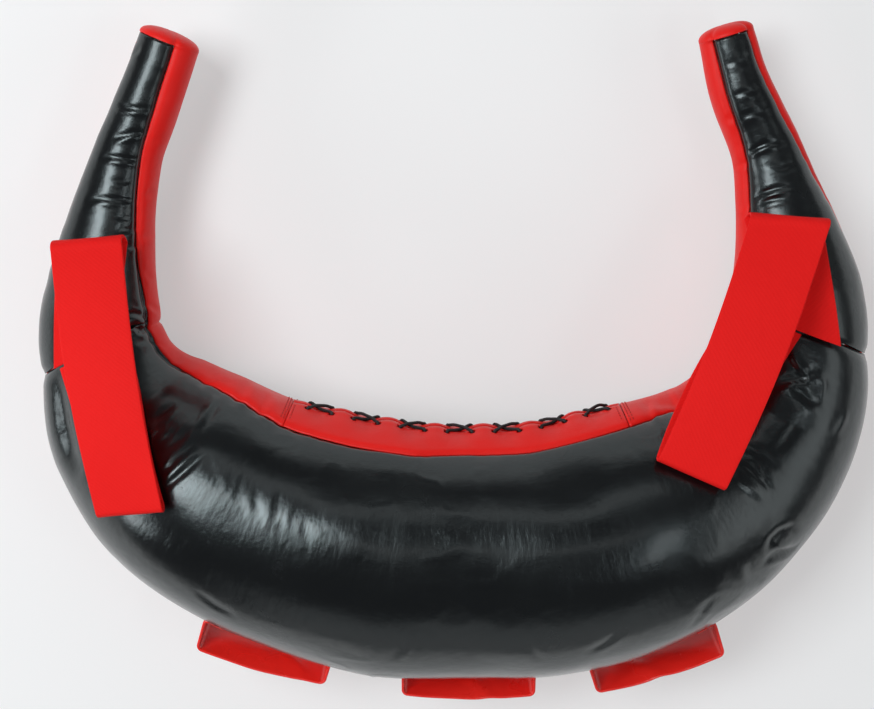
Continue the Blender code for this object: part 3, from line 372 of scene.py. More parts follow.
# ---------------------------------------------------------------- the skin's relief
# Creases that the photograph shows, as lines in its frame. Each row: width and depth in millimetres
# (a negative depth stands up as a fold), share of the depth that rises beside it, and x and y of its points.
CREASES = (
    # Left horn: folds across the horn under a hand's grip
    (1.5, 1.10, 0.70, 118, 105, 127, 108, 140, 109, 153, 109),
    (1.6, 1.20, 0.75, 112, 139, 122, 136, 134, 133, 146, 134),
    (1.5, 1.30, 0.75, 100, 160, 110, 157, 124, 159, 142, 161),
    (1.3, 0.60, 0.50, 106, 181, 122, 182, 139, 181),
    (1.5, 1.25, 0.70, 88, 202, 98, 199, 116, 200, 138, 202),
    (1.3, 0.70, 0.50, 112, 216, 126, 219, 139, 216),
    (1.6, 1.00, 0.60, 116, 232, 128, 231, 139, 229),
    (1.8, 1.50, 0.60, 112, 244, 124, 247, 142, 246),
    (2.2, 0.55, 0.30, 114, 60, 128, 55, 140, 48),
    (2.0, 0.40, 0.50, 128, 300, 139, 308, 150, 304),
    (2.0, 1.70, 0.50, 122, 318, 134, 313, 150, 318),
    (1.8, 1.80, 0.60, 124, 329, 136, 328, 150, 333),
    (1.8, 0.90, 0.50, 132, 344, 150, 340, 166, 346),
    # Right horn
    (1.5, 1.40, 0.75, 748, 154, 757, 148, 766, 144, 779, 142),
    (1.6, 1.50, 0.80, 754, 199, 764, 193, 776, 189, 792, 186),
    (1.5, 0.90, 0.60, 758, 204, 770, 200, 786, 198),
    (1.6, 0.55, 0.50, 740, 118, 752, 113, 764, 112),
    (1.6, 0.50, 0.50, 734, 96, 745, 92, 757, 92),
    (1.5, 0.60, 0.50, 766, 165, 780, 168, 794, 163),
    (1.6, 0.45, 0.50, 724, 66, 735, 62, 748, 63),
    # Left shoulder: folds that run from the strap's foot towards the inner seam
    (2.6, -1.20, 0.40, 158, 486, 170, 474, 183, 462, 198, 450),
    (1.8, 0.75, 0.30, 160, 492, 178, 478, 192, 466, 204, 454),
    (2.6, -1.00, 0.40, 196, 428, 207, 410, 218, 394),
    (2.2, -0.90, 0.40, 155, 472, 164, 466, 172, 460),
    (3.4, -0.90, 0.40, 146, 446, 158, 436, 172, 428),
    (3.2, 0.80, 0.30, 150, 458, 166, 450, 182, 438, 190, 426),
    (2.8, 0.90, 0.40, 146, 424, 160, 416, 176, 402),
    (2.2, 0.26, 0.50, 205, 452, 210, 462, 211, 476),
    (2.0, -0.16, 0.40, 214, 460, 221, 474, 226, 492),
    (2.2, 0.24, 0.50, 244, 472, 239, 486, 236, 502),
    (1.8, 0.18, 0.50, 232, 466, 231, 480, 229, 494),
    (2.0, -0.16, 0.40, 246, 492, 248, 506, 250, 520),
    (2.2, 0.22, 0.50, 258, 486, 256, 500, 258, 514),
    (2.0, -0.16, 0.40, 264, 500, 266, 514, 268, 528),
    (2.2, 0.24, 0.50, 280, 492, 276, 508, 274, 522),
    (2.2, -0.18, 0.40, 292, 500, 286, 520, 290, 538),
    (2.2, 0.20, 0.50, 306, 518, 304, 534, 310, 548),
    (2.2, -0.14, 0.40, 316, 524, 320, 540, 330, 552),
    # Right side of the body
    (2.6, 1.90, 0.55, 776, 384, 790, 380, 804, 378, 818, 368),
    (2.4, -1.50, 0.40, 790, 350, 797, 362, 806, 374, 814, 380),
    (2.4, 1.40, 0.60, 792, 386, 802, 394, 810, 402, 820, 404),
    (3.0, -0.80, 0.40, 818, 372, 824, 384, 822, 398),
    (3.4, 0.80, 0.40, 800, 412, 796, 428, 786, 442, 776, 452),
    (2.8, 1.00, 0.50, 742, 446, 754, 450, 766, 458, 776, 470),
    (2.2, 1.30, 0.60, 740, 462, 752, 468, 762, 480, 772, 490),
    (2.4, -1.10, 0.40, 734, 474, 744, 484, 756, 492, 766, 498),
    (2.0, 0.90, 0.50, 756, 462, 764, 470, 768, 482),
    (3.0, -0.70, 0.40, 848, 412, 842, 424, 834, 436),
    (3.4, 1.30, 0.40, 798, 532, 790, 528, 780, 532, 772, 540, 768, 552),
    (3.0, 2.20, 0.40, 764, 562, 772, 556, 782, 553, 796, 548),
    (3.4, 1.20, 0.50, 746, 566, 752, 576, 762, 582),
    (3.0, -0.90, 0.40, 772, 540, 780, 546, 790, 545),
    # Hollows of the outline where the skin is pulled in
    (9.0, 4.5, 0.00, 53, 372, 58, 396, 62, 424, 70, 452, 82, 476),
    (9.0, 3.5, 0.00, 642, 402, 662, 401, 684, 398, 700, 384, 712, 362),
    (8.0, 2.5, 0.00, 706, 372, 720, 345, 730, 318, 738, 290),
    # Folds across the red strip
    (2.2, 0.70, 0.60, 152, 142, 158, 140, 166, 137),
    (2.2, 0.90, 0.60, 144, 197, 151, 195, 160, 193),
    (2.4, 1.00, 0.60, 142, 237, 150, 236, 159, 234),
    (2.4, 0.80, 0.60, 144, 274, 152, 276, 161, 276),
    (2.4, 1.10, 0.60, 147, 304, 155, 308, 163, 312),
    (3.0, 1.20, 0.50, 172, 366, 180, 358, 187, 344),
    (3.2, 1.10, 0.50, 203, 386, 212, 376, 219, 358),
    (3.4, 1.20, 0.60, 232, 404, 242, 394, 250, 376),
    (3.4, 1.40, 0.60, 256, 416, 264, 406, 270, 388),
    (3.0, 0.90, 0.50, 280, 424, 286, 414, 290, 396),
    (3.0, 1.00, 0.50, 650, 424, 648, 412, 644, 398),
    (3.0, 1.10, 0.50, 676, 416, 672, 404, 666, 390),
    (2.2, 0.80, 0.60, 722, 122, 728, 120, 736, 119),
    (2.2, 1.00, 0.60, 734, 166, 741, 165, 749, 166),
    (2.2, 0.70, 0.60, 736, 206, 743, 207, 751, 209),
    # The lower edge, drawn by the loops' stitching
    (3.2, 0.80, 0.40, 196, 590, 214, 604, 238, 616),
    (3.2, 0.80, 0.40, 586, 654, 604, 644, 620, 630),
    (3.2, 0.70, 0.40, 690, 628, 702, 612, 712, 598),
    (3.0, 0.60, 0.40, 392, 662, 400, 650, 404, 640),
    (3.0, 0.60, 0.40, 540, 662, 532, 650, 528, 640),
)


def photo_lines(tree):
    """The creases' lines laid on the smooth bag."""
    made = []
    for width, depth, lip, *places in CREASES:
        places = list(zip(places[::2], places[1::2]))
        line = []
        for (x0, y0), (x1, y1) in zip(places, places[1:]):
            count = max(2, int(math.hypot(x1 - x0, y1 - y0) / CREASE_STEP))
            line += [(x0 + (x1 - x0) * k / count, y0 + (y1 - y0) * k / count) for k in range(count)]
        line.append(places[-1])
        hits = [tree.ray_cast(CAMERA_PLACE, pixel_ray(*place))[0] for place in line]
        hits = [tuple(hit) for hit in hits if hit is not None]
        if len(hits) > 2:
            made.append((np.array(hits), width / 1000, depth / 1000, lip))
    return made


def crease_lift(points, ways):
    """What all the creases add to the skin, outwards positive."""
    flat, face = points.reshape(-1, 3), ways.reshape(-1, 3)
    lift = np.zeros(len(flat))
    for line, width, depth, lip in CREASE_LINES:
        reach = CREASE_REACH * width
        near = (flat > line.min(axis=0) - reach) & (flat < line.max(axis=0) + reach)
        near = np.nonzero(np.all(near, axis=1))[0]
        if not len(near):
            continue
        p = flat[near]
        lengths = run_lengths(line)
        best = np.full(len(near), 1e9)
        share, side = np.zeros((2, len(near)))
        for k in range(len(line) - 1):
            a, run = line[k], line[k + 1] - line[k]
            size = np.dot(run, run)
            if size < 1e-12:
                continue
            t = np.clip((p - a) @ run / size, 0, 1)
            off = p - a - t[:, None] * run
            away = np.linalg.norm(off, axis=1)
            closer = away < best
            best = np.where(closer, away, best)
            share = np.where(closer, (lengths[k] + t * math.sqrt(size)) / lengths[-1], share)
            across = np.cross(np.broadcast_to(run, p.shape), face[near])
            side = np.where(closer, np.sign(np.einsum("ij,ij->i", across, off)), side)
        taper = np.sin(np.pi * np.clip(share, 0.0, 1.0)) ** 0.7
        lift[near] += depth * taper * (lip * bell(best * side - 1.7 * width, width) - bell(best, width))
    return lift.reshape(points.shape[:-1])


def hollow(lift, away, rows):
    """Lowers the skin beside a seam."""
    for depth, reach in rows:
        lift = lift - depth * bell(away, reach)
    return lift


def seam_lift(s, angle):
    """The skin drawn in at its long seams and at the two cross seams."""
    lift = hollow(0.0, seam_distance(s, angle), LONG_SEAM_HOLLOWS)
    for cross in (CROSS_SEAM_LEFT, CROSS_SEAM_RIGHT):
        lift = hollow(lift, np.abs(s - cross - slant(s, inner_share(s, angle))), CROSS_SEAM_HOLLOWS)
    return lift


def gather_lift(points, s, angle, strength):
    """Small folds that run away from the seams, as a tight thread leaves them."""
    across = np.stack((s, np.zeros_like(s), np.zeros_like(s)), axis=-1)
    wave = noise(across + (0, 0, 0.3), 0.0085, 11) + 0.6 * noise(across + (0, 0, 0.7), 0.0048, 12)
    amount = np.clip(0.5 + 0.9 * noise(points, 0.05, 13), 0, 1)
    return GATHER_HEIGHT * strength * wave * amount * bell(seam_distance(s, angle), GATHER_REACH)


def lump_lift(points, s, share):
    """Soft unevenness of packed sand in the body and of fibre in the horns."""
    body = np.clip((radius(s) - LUMP_START) / LUMP_SPAN, 0, 1)
    lift = body * (0.0017 * noise(points, 0.085, 21) + 0.0008 * noise(points, 0.038, 22))
    lift = lift + (1 - body) * (0.0008 * noise(points, 0.050, 23) + 0.0002 * noise(points, 0.021, 24))
    fine = np.clip(ridged(points, 0.016, 25) - 0.35, 0, 1) * np.clip(noise(points, 0.06, 26) + 0.15, 0, 1)
    return share * (lift + 0.0007 * fine * (0.25 + 0.75 * body))


def skin(s, angle, inset=0.0, wavy=False, at=None, loose=1.0, crease=True):
    """Points of the visible skin. at moves them along the bag without changing their seam places."""
    place = s if at is None else at
    points, ways = base_place(place, angle)
    lift = seam_lift(place, angle) + lump_lift(points, place, loose) + gather_lift(points, place, angle, loose)
    if crease:
        lift = lift + crease_lift(points, ways)
    if wavy:
        lift = lift + scallop(place, angle)
    points = points + ways * (lift - inset)[..., None]
    points[..., 2] = np.maximum(points[..., 2], inset)
    return points


# ---------------------------------------------------------------- making pieces
def put(name, data):
    """A new object of the scene."""
    item = bpy.data.objects.new(name, data)
    bpy.context.scene.collection.objects.link(item)
    return item


def new_piece(name, verts, faces, material, nodes, body="bag", uv=None):
    """A piece that rides on a body and replaces nodes."""
    mesh = bpy.data.meshes.new(name)
    mesh.from_pydata(verts.reshape(-1, 3).tolist(), [], faces)
    if uv is not None:
        layer = mesh.uv_layers.new(name="UVMap")
        loops = np.zeros(len(mesh.loops), dtype=np.int64)
        mesh.loops.foreach_get("vertex_index", loops)
        layer.data.foreach_set("uv", uv.reshape(-1, 2)[loops].ravel())
    mesh.materials.append(material)
    mesh.shade_smooth()
    item = put(name, mesh)
    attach(item, body)
    for node in nodes:
        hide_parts(node)
    return item


def grid_uv(points):
    along = np.median(run_lengths(points), axis=1)[:, None] * np.ones(points.shape[:2])
    across = run_lengths(points, 1)
    middle = points.shape[1] // 2
    return np.stack((across - across[:, middle:middle + 1], along), axis=-1)


def thicken(item, thickness, offset=-1.0):
    solid = item.modifiers.new("Thickness", "SOLIDIFY")
    solid.thickness = thickness
    solid.offset = offset


def sheet(name, points, material, node, thickness=CLOTH_THICKNESS, body="bag", offset=-1.0,
          flip=False):
    """An open cloth grid with a real thickness."""
    item = new_piece(name, points, grid_faces(*points.shape[:2], flip=flip), material, (node,),
                     body, grid_uv(points))
    thicken(item, thickness, offset)
    return item


def edge_shares(count, ease=0.075):
    """Divisions that are closer together at both edges."""
    v = np.linspace(0, 1, count + 1)
    return v - ease * np.sin(2 * math.pi * v)


def apply_modifiers(item):
    """Writes the shown mesh back, so that no modifier is left."""
    graph = bpy.context.evaluated_depsgraph_get()
    mesh = bpy.data.meshes.new_from_object(item.evaluated_get(graph), depsgraph=graph)
    item.modifiers.clear()
    item.data = mesh
    mesh.shade_smooth()


# ---------------------------------------------------------------- panels and strips
def panel(name, low_s, high_s, side, cell, material):
    """One black panel. side 0 is the front, 1 the back."""
    rows = int((high_s - low_s) / cell)
    columns = int(math.pi * radius((low_s + high_s) / 2) * 0.85 / cell)
    s, share = np.meshgrid(low_s + (high_s - low_s) * edge_shares(rows, 0.01), edge_shares(columns),
                           indexing="ij")
    seams = seam_angles(s)
    gap = SEAM_GAP / 2 / radius(s)
    low, high = seams[2 * side] + gap, seams[2 * side + 1] - gap
    inner = 1 - share if side else share
    points = skin(s, low + (high - low) * share, at=s + slant(s, inner))
    sheet(name + "_skin", points, material, name)


def make_panels(material):
    half_gap = SEAM_GAP / 2
    parts = (("body_panel", CROSS_SEAM_LEFT + half_gap, CROSS_SEAM_RIGHT - half_gap, BODY_CELL, 0.85),
             ("horn_panel_left", START, CROSS_SEAM_LEFT - half_gap, HORN_CELL, 0.8),
             ("horn_panel_right", CROSS_SEAM_RIGHT + half_gap, END, HORN_CELL, 0.8))
    for side, word in enumerate(("front_", "back_")):
        for name, low, high, cell, fill in parts:
            panel(word + name, low, high, side, cell * (1 + 0.5 * side), material)


def strip_angles(seams, gap, side, shares):
    """Places across a red strip. side 1 is the inner gusset, 0 the outer strip."""
    low, high = (seams[1], seams[2]) if side else (seams[3] - 2 * math.pi, seams[0])
    low, high = low + gap, high - gap
    return low + (high - low) * shares


def strip_grid(stations, side, columns):
    s, share = np.meshgrid(stations, edge_shares(columns), indexing="ij")
    angle = strip_angles(seam_angles(s), SEAM_GAP / 2 / radius(s), side, share)
    return skin(s, angle, at=s + slant(s, float(side)), loose=0.7)


def make_gusset(word, material):
    """One red strip up the inner edge, over the horn's tip and down the outer edge."""
    toward, tip, cross = (1, END, CROSS_SEAM_RIGHT) if word == "right" else (-1, START, CROSS_SEAM_LEFT)
    firsts = toward * (PLACKET_HALF_LENGTH + SEAM_GAP / 2), cross + toward * SEAM_GAP / 2
    inner, outer = (strip_grid(np.linspace(first, tip, int(abs(tip - first) / STRIP_CELL)), side, columns)
                    for first, side, columns in zip(firsts, (1, 0), (INNER_COLUMNS, OUTER_COLUMNS)))
    seams = [float(v) for v in seam_angles(tip)]
    gap = float(SEAM_GAP / 2 / radius(tip))
    shares = edge_shares(TIP_COLUMNS)[1:-1]
    front = seams[0] + (seams[1] - seams[0]) * shares
    back = seams[2] + (seams[3] - seams[2]) * shares
    angles = np.concatenate((strip_angles(seams, gap, 0, edge_shares(OUTER_COLUMNS)), front,
                             strip_angles(seams, gap, 1, edge_shares(INNER_COLUMNS)), back))
    middle = centre(tip)
    ahead = tangent(tip) * toward
    edge = skin(np.full(len(angles), tip), angles, loose=0.5) - middle
    # The cloth stands up in small corners where the four long seams end
    corners = sum(bell(np.angle(np.exp(1j * (angles - seam))), TIP_CORNER_REACH) for seam in seams)
    rings = []
    domes = [(TIP_COLLAR, math.pi / 2 * k / TIP_RINGS) for k in range(TIP_RINGS)]
    for collar, dome in [(SEAM_GAP, 0.0)] + domes:
        corner = (TIP_CORNER * corners * math.cos(dome) ** 0.7)[:, None]
        rings.append(middle + edge * (math.cos(dome) ** 0.72 + corner)
                     + ahead * (collar + TIP_DOME * math.sin(dome) * (1 - 1.6 * corner)))
    apex = middle + ahead * (TIP_DOME + TIP_COLLAR)
    verts = np.concatenate([inner.reshape(-1, 3), outer.reshape(-1, 3)] + rings + [apex[None, :]])
    count = len(angles)
    faces, start = [], 0
    ring_start = inner[..., 0].size + outer[..., 0].size
    for grid, slot in ((inner, outer.shape[1] + len(front)), (outer, 0)):
        rows, width = grid.shape[:2]
        faces += grid_faces(rows, width, start=start)
        start += rows * width
        last, ring = start - width, ring_start + slot
        faces += [[last + k, ring + k, ring + k + 1, last + k + 1] for k in range(width - 1)]
    faces += grid_faces(len(rings), count, ring=True, start=ring_start)
    last = ring_start + (len(rings) - 1) * count
    faces += [[last + k, len(verts) - 1, last + (k + 1) % count] for k in range(count)]
    if toward < 0:
        faces = [face[::-1] for face in faces]
    uv = np.concatenate((grid_uv(inner).reshape(-1, 2), grid_uv(outer).reshape(-1, 2), verts[ring_start:, :2]))
    item = new_piece("gusset_" + word + "_skin", verts, faces, material, ("gusset_strip_" + word,),
                     uv=uv)
    thicken(item, CLOTH_THICKNESS)


def make_outer_strip(material):
    low = CROSS_SEAM_LEFT + SEAM_GAP / 2
    high = CROSS_SEAM_RIGHT - SEAM_GAP / 2
    points = strip_grid(np.linspace(low, high, int((high - low) / OUTER_CELL)), 0, 14)
    sheet("outer_strip_skin", points, material, "outer_body_strip")


# ---------------------------------------------------------------- laced placket
def placket_angle(s, across):
    return math.pi + read(VALUES, s)[..., 2] - across / radius(s)


def placket_skin(s, across, inset, wavy=True, loose=0.6):
    return skin(s, placket_angle(s, across), inset, wavy=wavy, loose=loose, crease=False)


def cross_places():
    """The middle of each cross, as a distance along the slit."""
    return [CROSS_SHIFT + (k - (CROSS_COUNT - 1) / 2) * CROSS_PITCH for k in range(CROSS_COUNT)]


def hole_cutter(side):
    mesh = bpy.data.meshes.new("cutter")
    bm = bmesh.new()
    for middle in cross_places():
        for end in (-1, 1):
            s = crest_station(middle + end * CROSS_HALF_LENGTH)
            across = np.array(side * CROSS_HALF_WIDTH)
            face = Vector(placket_skin(s, across, 0.0))
            below = Vector(placket_skin(s, across, SKIN_THICKNESS))
            made = bmesh.ops.create_cone(bm, cap_ends=True, segments=20, radius1=LACE_HOLE_DIAMETER / 2,
                                         radius2=LACE_HOLE_DIAMETER / 2, depth=6 * SKIN_THICKNESS)
            turn = (face - below).normalized().to_track_quat("Z", "Y").to_matrix().to_4x4()
            turn.translation = (face + below) / 2
            bmesh.ops.transform(bm, matrix=turn, verts=made["verts"])
    bm.to_mesh(mesh)
    bm.free()
    return put("cutter", mesh)


def make_placket(material):
    """Two flaps, each with a hemmed slit edge and the holes of the lace."""
    line = np.linspace(-PLACKET_HALF_LENGTH + SEAM_GAP / 2, PLACKET_HALF_LENGTH - SEAM_GAP / 2, 220)
    half = read(VALUES, line)[:, 1] / 2 - SEAM_GAP / 2
    across = SLIT_WIDTH / 2 + (half[:, None] - SLIT_WIDTH / 2) * edge_shares(20, 0.06)[None, :]
    s = np.repeat(line[:, None], across.shape[1], axis=1)
    hem = HEM_HEIGHT * bell(across - SLIT_WIDTH / 2 - HEM_PLACE, HEM_REACH)
    for side, word in ((1, "front"), (-1, "back")):
        points = placket_skin(s, side * across, -hem)
        item = sheet("placket_" + word + "_skin", points, material, "placket_flap_" + word,
                     flip=side > 0)
        cutter = hole_cutter(side)
        cut = item.modifiers.new("Holes", "BOOLEAN")
        cut.operation = "DIFFERENCE"
        cut.object = cutter
        apply_modifiers(item)
        bpy.data.objects.remove(cutter, do_unlink=True)


def make_tongue(material):
    """The lining under the slit, deeper along its middle where the lace runs over it."""
    shallow = SKIN_THICKNESS + 2.5 * LACE_CLEARANCE
    deep = SKIN_THICKNESS + 3 * LACE_CLEARANCE + LACE_DIAMETER
    reach = PLACKET_HALF_LENGTH - SKIN_THICKNESS
    line = np.linspace(-reach, reach, 120)
    half = (read(VALUES, line)[:, 1] / 2 * TONGUE_WIDTH_SHARE)[:, None]
    across = half * np.linspace(1, -1, 25)[None, :]
    share = np.clip((half - np.abs(across)) / (half * 0.40), 0, 1)
    share = share * share * (3 - 2 * share)
    inset = shallow + (deep - shallow) * share + 0.0006
    points = placket_skin(np.repeat(line[:, None], 25, axis=1), across, inset, wavy=False, loose=0.3)
    sheet("tongue_lining", points, material, "placket_tongue", thickness=TONGUE_THICKNESS)


def lace_route():
    """The lace's middle line: up one side's crosses, round under the slit's end and back over the others."""
    low = -(SKIN_THICKNESS + LACE_CLEARANCE + LACE_DIAMETER / 2)
    rest = LACE_CLEARANCE + LACE_DIAMETER / 2
    over = rest + LACE_DIAMETER + LACE_OVERLAP
    bend = LACE_DIAMETER * 0.6
    strands = []
    for side, top in ((1, over), (-1, rest)):
        # Half a cross, outside in: distance along the slit from its middle, share across and height
        half = ((CROSS_HALF_LENGTH + 1.3 * bend, 1, low), (CROSS_HALF_LENGTH + 0.25 * bend, 1, low * 0.72),
                (CROSS_HALF_LENGTH, 1, -SKIN_THICKNESS / 2),
                (CROSS_HALF_LENGTH - 0.30 * bend, 0.975, rest * 0.62),
                (CROSS_HALF_LENGTH - 1.25 * bend, 0.86, rest),
                (CROSS_HALF_LENGTH * 0.42, 0.44, rest + (top - rest) * 0.75))
        path = []
        for middle in cross_places():
            wide = side * CROSS_HALF_WIDTH
            path += [(middle - along, wide * share, height) for along, share, height in half]
            path.append((middle, 0.0, top))
            path += [(middle + along, -wide * share, height) for along, share, height in half[::-1]]
            side = -side
        strands.append(path)
    first, second = strands
    start, end = first[0][0] - LACE_DIAMETER, first[-1][0] + LACE_TAIL
    turn = [(start, 0.6 * CROSS_HALF_WIDTH, low), (start - LACE_DIAMETER * 0.2, 0.0, low),
            (start, -0.6 * CROSS_HALF_WIDTH, low)]
    route = [(end, first[-1][1], low)] + first[::-1] + turn + second + [(end, second[-1][1], low)]
    along, across, lift = np.array(route).T
    return placket_skin(crest_station(along), across, -lift)


def smooth_route(points, spacing):
    """A fine curve through the route's points."""
    lengths = run_lengths(points)
    t = np.arange(0, lengths[-1], spacing)
    k = np.clip(np.searchsorted(lengths, t, side="right") - 1, 0, len(points) - 2)
    before, after = np.maximum(k - 1, 0), np.minimum(k + 2, len(points) - 1)
    h = (lengths[k + 1] - lengths[k])[:, None]
    u = (t - lengths[k])[:, None] / h
    a, b = points[k], points[k + 1]
    ma = (b - points[before]) / np.maximum(lengths[k + 1] - lengths[before], 1e-6)[:, None]
    mb = (points[after] - a) / np.maximum(lengths[after] - lengths[k], 1e-6)[:, None]
    return hermite(a, b, ma, mb, h, u)


def tube(points, size, columns, braid, pitch):
    """A round cord through points, with the low ridges of its braid."""
    along = np.gradient(points, axis=0)
    along /= np.linalg.norm(along, axis=1, keepdims=True)
    first = np.cross(along[0], UP)
    frames = [first / np.linalg.norm(first)]
    for way in along[1:]:
        side = frames[-1] - way * np.dot(frames[-1], way)
        frames.append(side / np.linalg.norm(side))
    side = np.array(frames)
    other = np.cross(along, side)
    turn = np.linspace(0, 2 * math.pi, columns, endpoint=False)
    phase = run_lengths(points)[:, None] / pitch * 2 * math.pi
    ridges = np.abs(np.sin(phase + 2 * turn)) + np.abs(np.sin(phase - 2 * turn)) - 1.27
    reach = size / 2 * (1 + braid * ridges)
    return (points[:, None, :] + side[:, None, :] * (reach * np.cos(turn))[..., None]
            + other[:, None, :] * (reach * np.sin(turn))[..., None])


def make_lace(material):
    route = smooth_route(lace_route(), LACE_STEP)
    rings = tube(route, LACE_DIAMETER, LACE_COLUMNS, BRAID_HEIGHT, BRAID_PITCH)
    for end in (0, -1):
        rings[end] = route[end] + (rings[end] - route[end]) * 0.5
    rows, count = rings.shape[:2]
    verts = np.concatenate((rings.reshape(-1, 3), route[:1], route[-1:]))
    faces = grid_faces(rows, count, ring=True, flip=True)
    last, first_middle = (rows - 1) * count, rows * count
    for k in range(count):
        n = (k + 1) % count
        faces += [[first_middle, k, n], [first_middle + 1, last + n, last + k]]
    new_piece("lace_cord", verts, faces, material, ("lace",))


# ---------------------------------------------------------------- webbing
def webbing(name, node, points, material, edge):
    """Webbing with rounded selvages, which rides on the body that has its node's name."""
    item = sheet(name, points, material, node, WEBBING_THICKNESS, node, 0.0)
    round_edge = item.modifiers.new("Selvage", "BEVEL")
    round_edge.width = WEBBING_THICKNESS * edge
    round_edge.segments = 3
    round_edge.limit_method = "ANGLE"
    round_edge.angle_limit = math.radians(50)
    apply_modifiers(item)


def seam_line(cross):
    """The cross seam on the front, seen from above, as a point and a direction towards +X."""
    ends = []
    for share in (0.2, 0.8):
        seams = seam_angles(cross)
        angle = seams[0] + (seams[1] - seams[0]) * share
        ends.append(skin(cross + slant(cross, share), angle, crease=False, loose=0.0) * (1, 1, 0))
    ends.sort(key=lambda end: end[0])
    run = ends[1] - ends[0]
    return ends[0], run / np.linalg.norm(run)


def meet(start, end, point, direction):
    """Where the line from start to end crosses another line, seen from above."""
    run = end - start
    return start + run * (np.cross(point - start, direction)[2] / np.cross(run, direction)[2])


def quad_rows(first, last, count):
    """A flat grid between two pairs of corners."""
    u, v = np.meshgrid(np.linspace(0, 1, count + 1), np.linspace(0, 1, STRAP_COLUMNS + 1), indexing="ij")
    u, v = u[..., None], v[..., None]
    return (first[0] * (1 - u) + last[0] * u) * (1 - v) + (first[1] * (1 - u) + last[1] * u) * v


def height_over(tree, x, y):
    hit = tree.ray_cast(Vector((x, y, 4 * BODY_RADIUS)), Vector((0, 0, -1)))
    return hit[0].z if hit[0] is not None else None


def laid_heights(tree, rows, degrees):
    """Webbing laid on the bag, lifting off more with the distance from its first row."""
    rise = math.tan(math.radians(degrees))
    middle = rows.shape[1] // 2
    heights = np.zeros(rows.shape[:2])
    for i, row in enumerate(rows):
        under = [height_over(tree, x, y) for x, y, _ in row]
        limit = max(h for h in under if h is not None) - STRAP_WIDTH * STRAP_DRAPE_SHARE
        lift = np.linalg.norm(row[middle] - rows[0, middle]) * rise + STRAP_SEAT_GAP + WEBBING_THICKNESS / 2
        heights[i] = [(limit if h is None else max(h, limit)) + lift for h in under]
    for _ in range(3 * max(1, len(rows) // 8)):
        heights[1:-1] = np.maximum(heights[1:-1], (heights[:-2] + heights[2:]) / 2)
    # Firm webbing bends evenly over its width
    for _ in range(6):
        wide = np.pad(heights, ((0, 0), (1, 1)), mode="edge")
        heights = np.maximum(heights, (wide[:, :-2] + wide[:, 2:]) / 2)
    return heights


def slope_line(heights, width):
    """The line over a row of heights that touches them from above: its middle height and its slope."""
    slope = (heights[-1] - heights[0]) / width
    places = np.linspace(-width / 2, width / 2, len(heights))
    return float(np.max(heights - slope * places)), slope


def fold_rows(start, end, ahead):
    """The half turn of webbing between two layers."""
    middle, run = (start + end) / 2, end - start
    reach = np.linalg.norm(run, axis=1, keepdims=True).min()
    turns = [math.pi * k / FOLD_STEPS for k in range(1, FOLD_STEPS)]
    return np.array([middle - run / 2 * math.cos(turn) + ahead * (reach / 2 * math.sin(turn)) for turn in turns])


def make_hand_strap(tree, material, word, cross, top_aside, top_ahead, low_aside, low_behind, fold_degrees,
                    under_aside, over_aside):
    """A closed band: the under layer, the grip that bows over the bag and the over layer."""
    seam = centre(cross) * (1, 1, 0)
    top = seam + (top_aside, top_ahead, 0)
    bottom = seam + (low_aside, -low_behind, 0)
    along = (top - bottom) / np.linalg.norm(top - bottom)
    side = np.array((along[1], -along[0], 0.0))
    half = STRAP_WIDTH / 2
    turn = math.radians(fold_degrees)
    fold = np.array((math.cos(turn), math.sin(turn), 0.0))
    low = (bottom - side * half, bottom + side * half)
    reach = half / np.dot(fold, side)
    high = (top - fold * reach, top + fold * reach)
    point, direction = seam_line(cross)
    sewn = [meet(a, b, point, direction) for a, b in zip(low, high)]
    away = along * (STRAP_END_GAP / 2)
    under = quad_rows([p + direction * under_aside - away for p in sewn], low, STRAP_UNDER_ROWS)
    over = quad_rows([p + direction * over_aside + away for p in sewn], high, STRAP_OVER_ROWS)
    front = quad_rows(low, high, STRAP_FRONT_ROWS)
    under[..., 2] = laid_heights(tree, under, STRAP_PRESS_DEGREES)
    over[..., 2] = laid_heights(tree, over, STRAP_LIFT_DEGREES)
    under_low, under_slope = slope_line(under[-1, :, 2], STRAP_WIDTH)
    over_high, over_slope = slope_line(over[-1, :, 2], STRAP_WIDTH)
    share = np.linspace(0, 1, STRAP_FRONT_ROWS + 1)[:, None]
    across = np.linspace(-half, half, STRAP_COLUMNS + 1)[None, :]
    middle = ((under_low + STRAP_BOTTOM_GAP + WEBBING_THICKNESS) * (1 - share)
              + (over_high + STRAP_TOP_GAP + WEBBING_THICKNESS) * share + STRAP_BOW * np.sin(math.pi * share))
    # Webbing under a hand cups a little over its width
    cup = STRAP_CUP * np.sin(math.pi * share) * (1 - (across / half) ** 2)
    front[..., 2] = middle + (under_slope * (1 - share) + over_slope * share) * across + cup
    rows = np.concatenate((under, fold_rows(under[-1], front[0], -along), front,
                           fold_rows(front[-1], over[-1], along), over[::-1]))
    webbing("hand_strap_" + word + "_webbing", "hand_strap_" + word, rows, material, 0.36)


def loop_seat(tree, origin, along, out, side, t):
    """How high a loop lies over the bag at a place along it, and its slope across."""
    heights = []
    for w in np.linspace(-LOOP_WIDTH / 2, LOOP_WIDTH / 2, 21):
        start = origin + along * t + side * w + out * BODY_RADIUS
        hit = tree.ray_cast(Vector(start), Vector(-out))
        heights.append(float(np.dot(np.array(hit[0]) - origin, out)))
    height, slope = slope_line(np.array(heights), LOOP_WIDTH)
    return height + LOOP_SEAT_GAP + WEBBING_THICKNESS / 2, slope


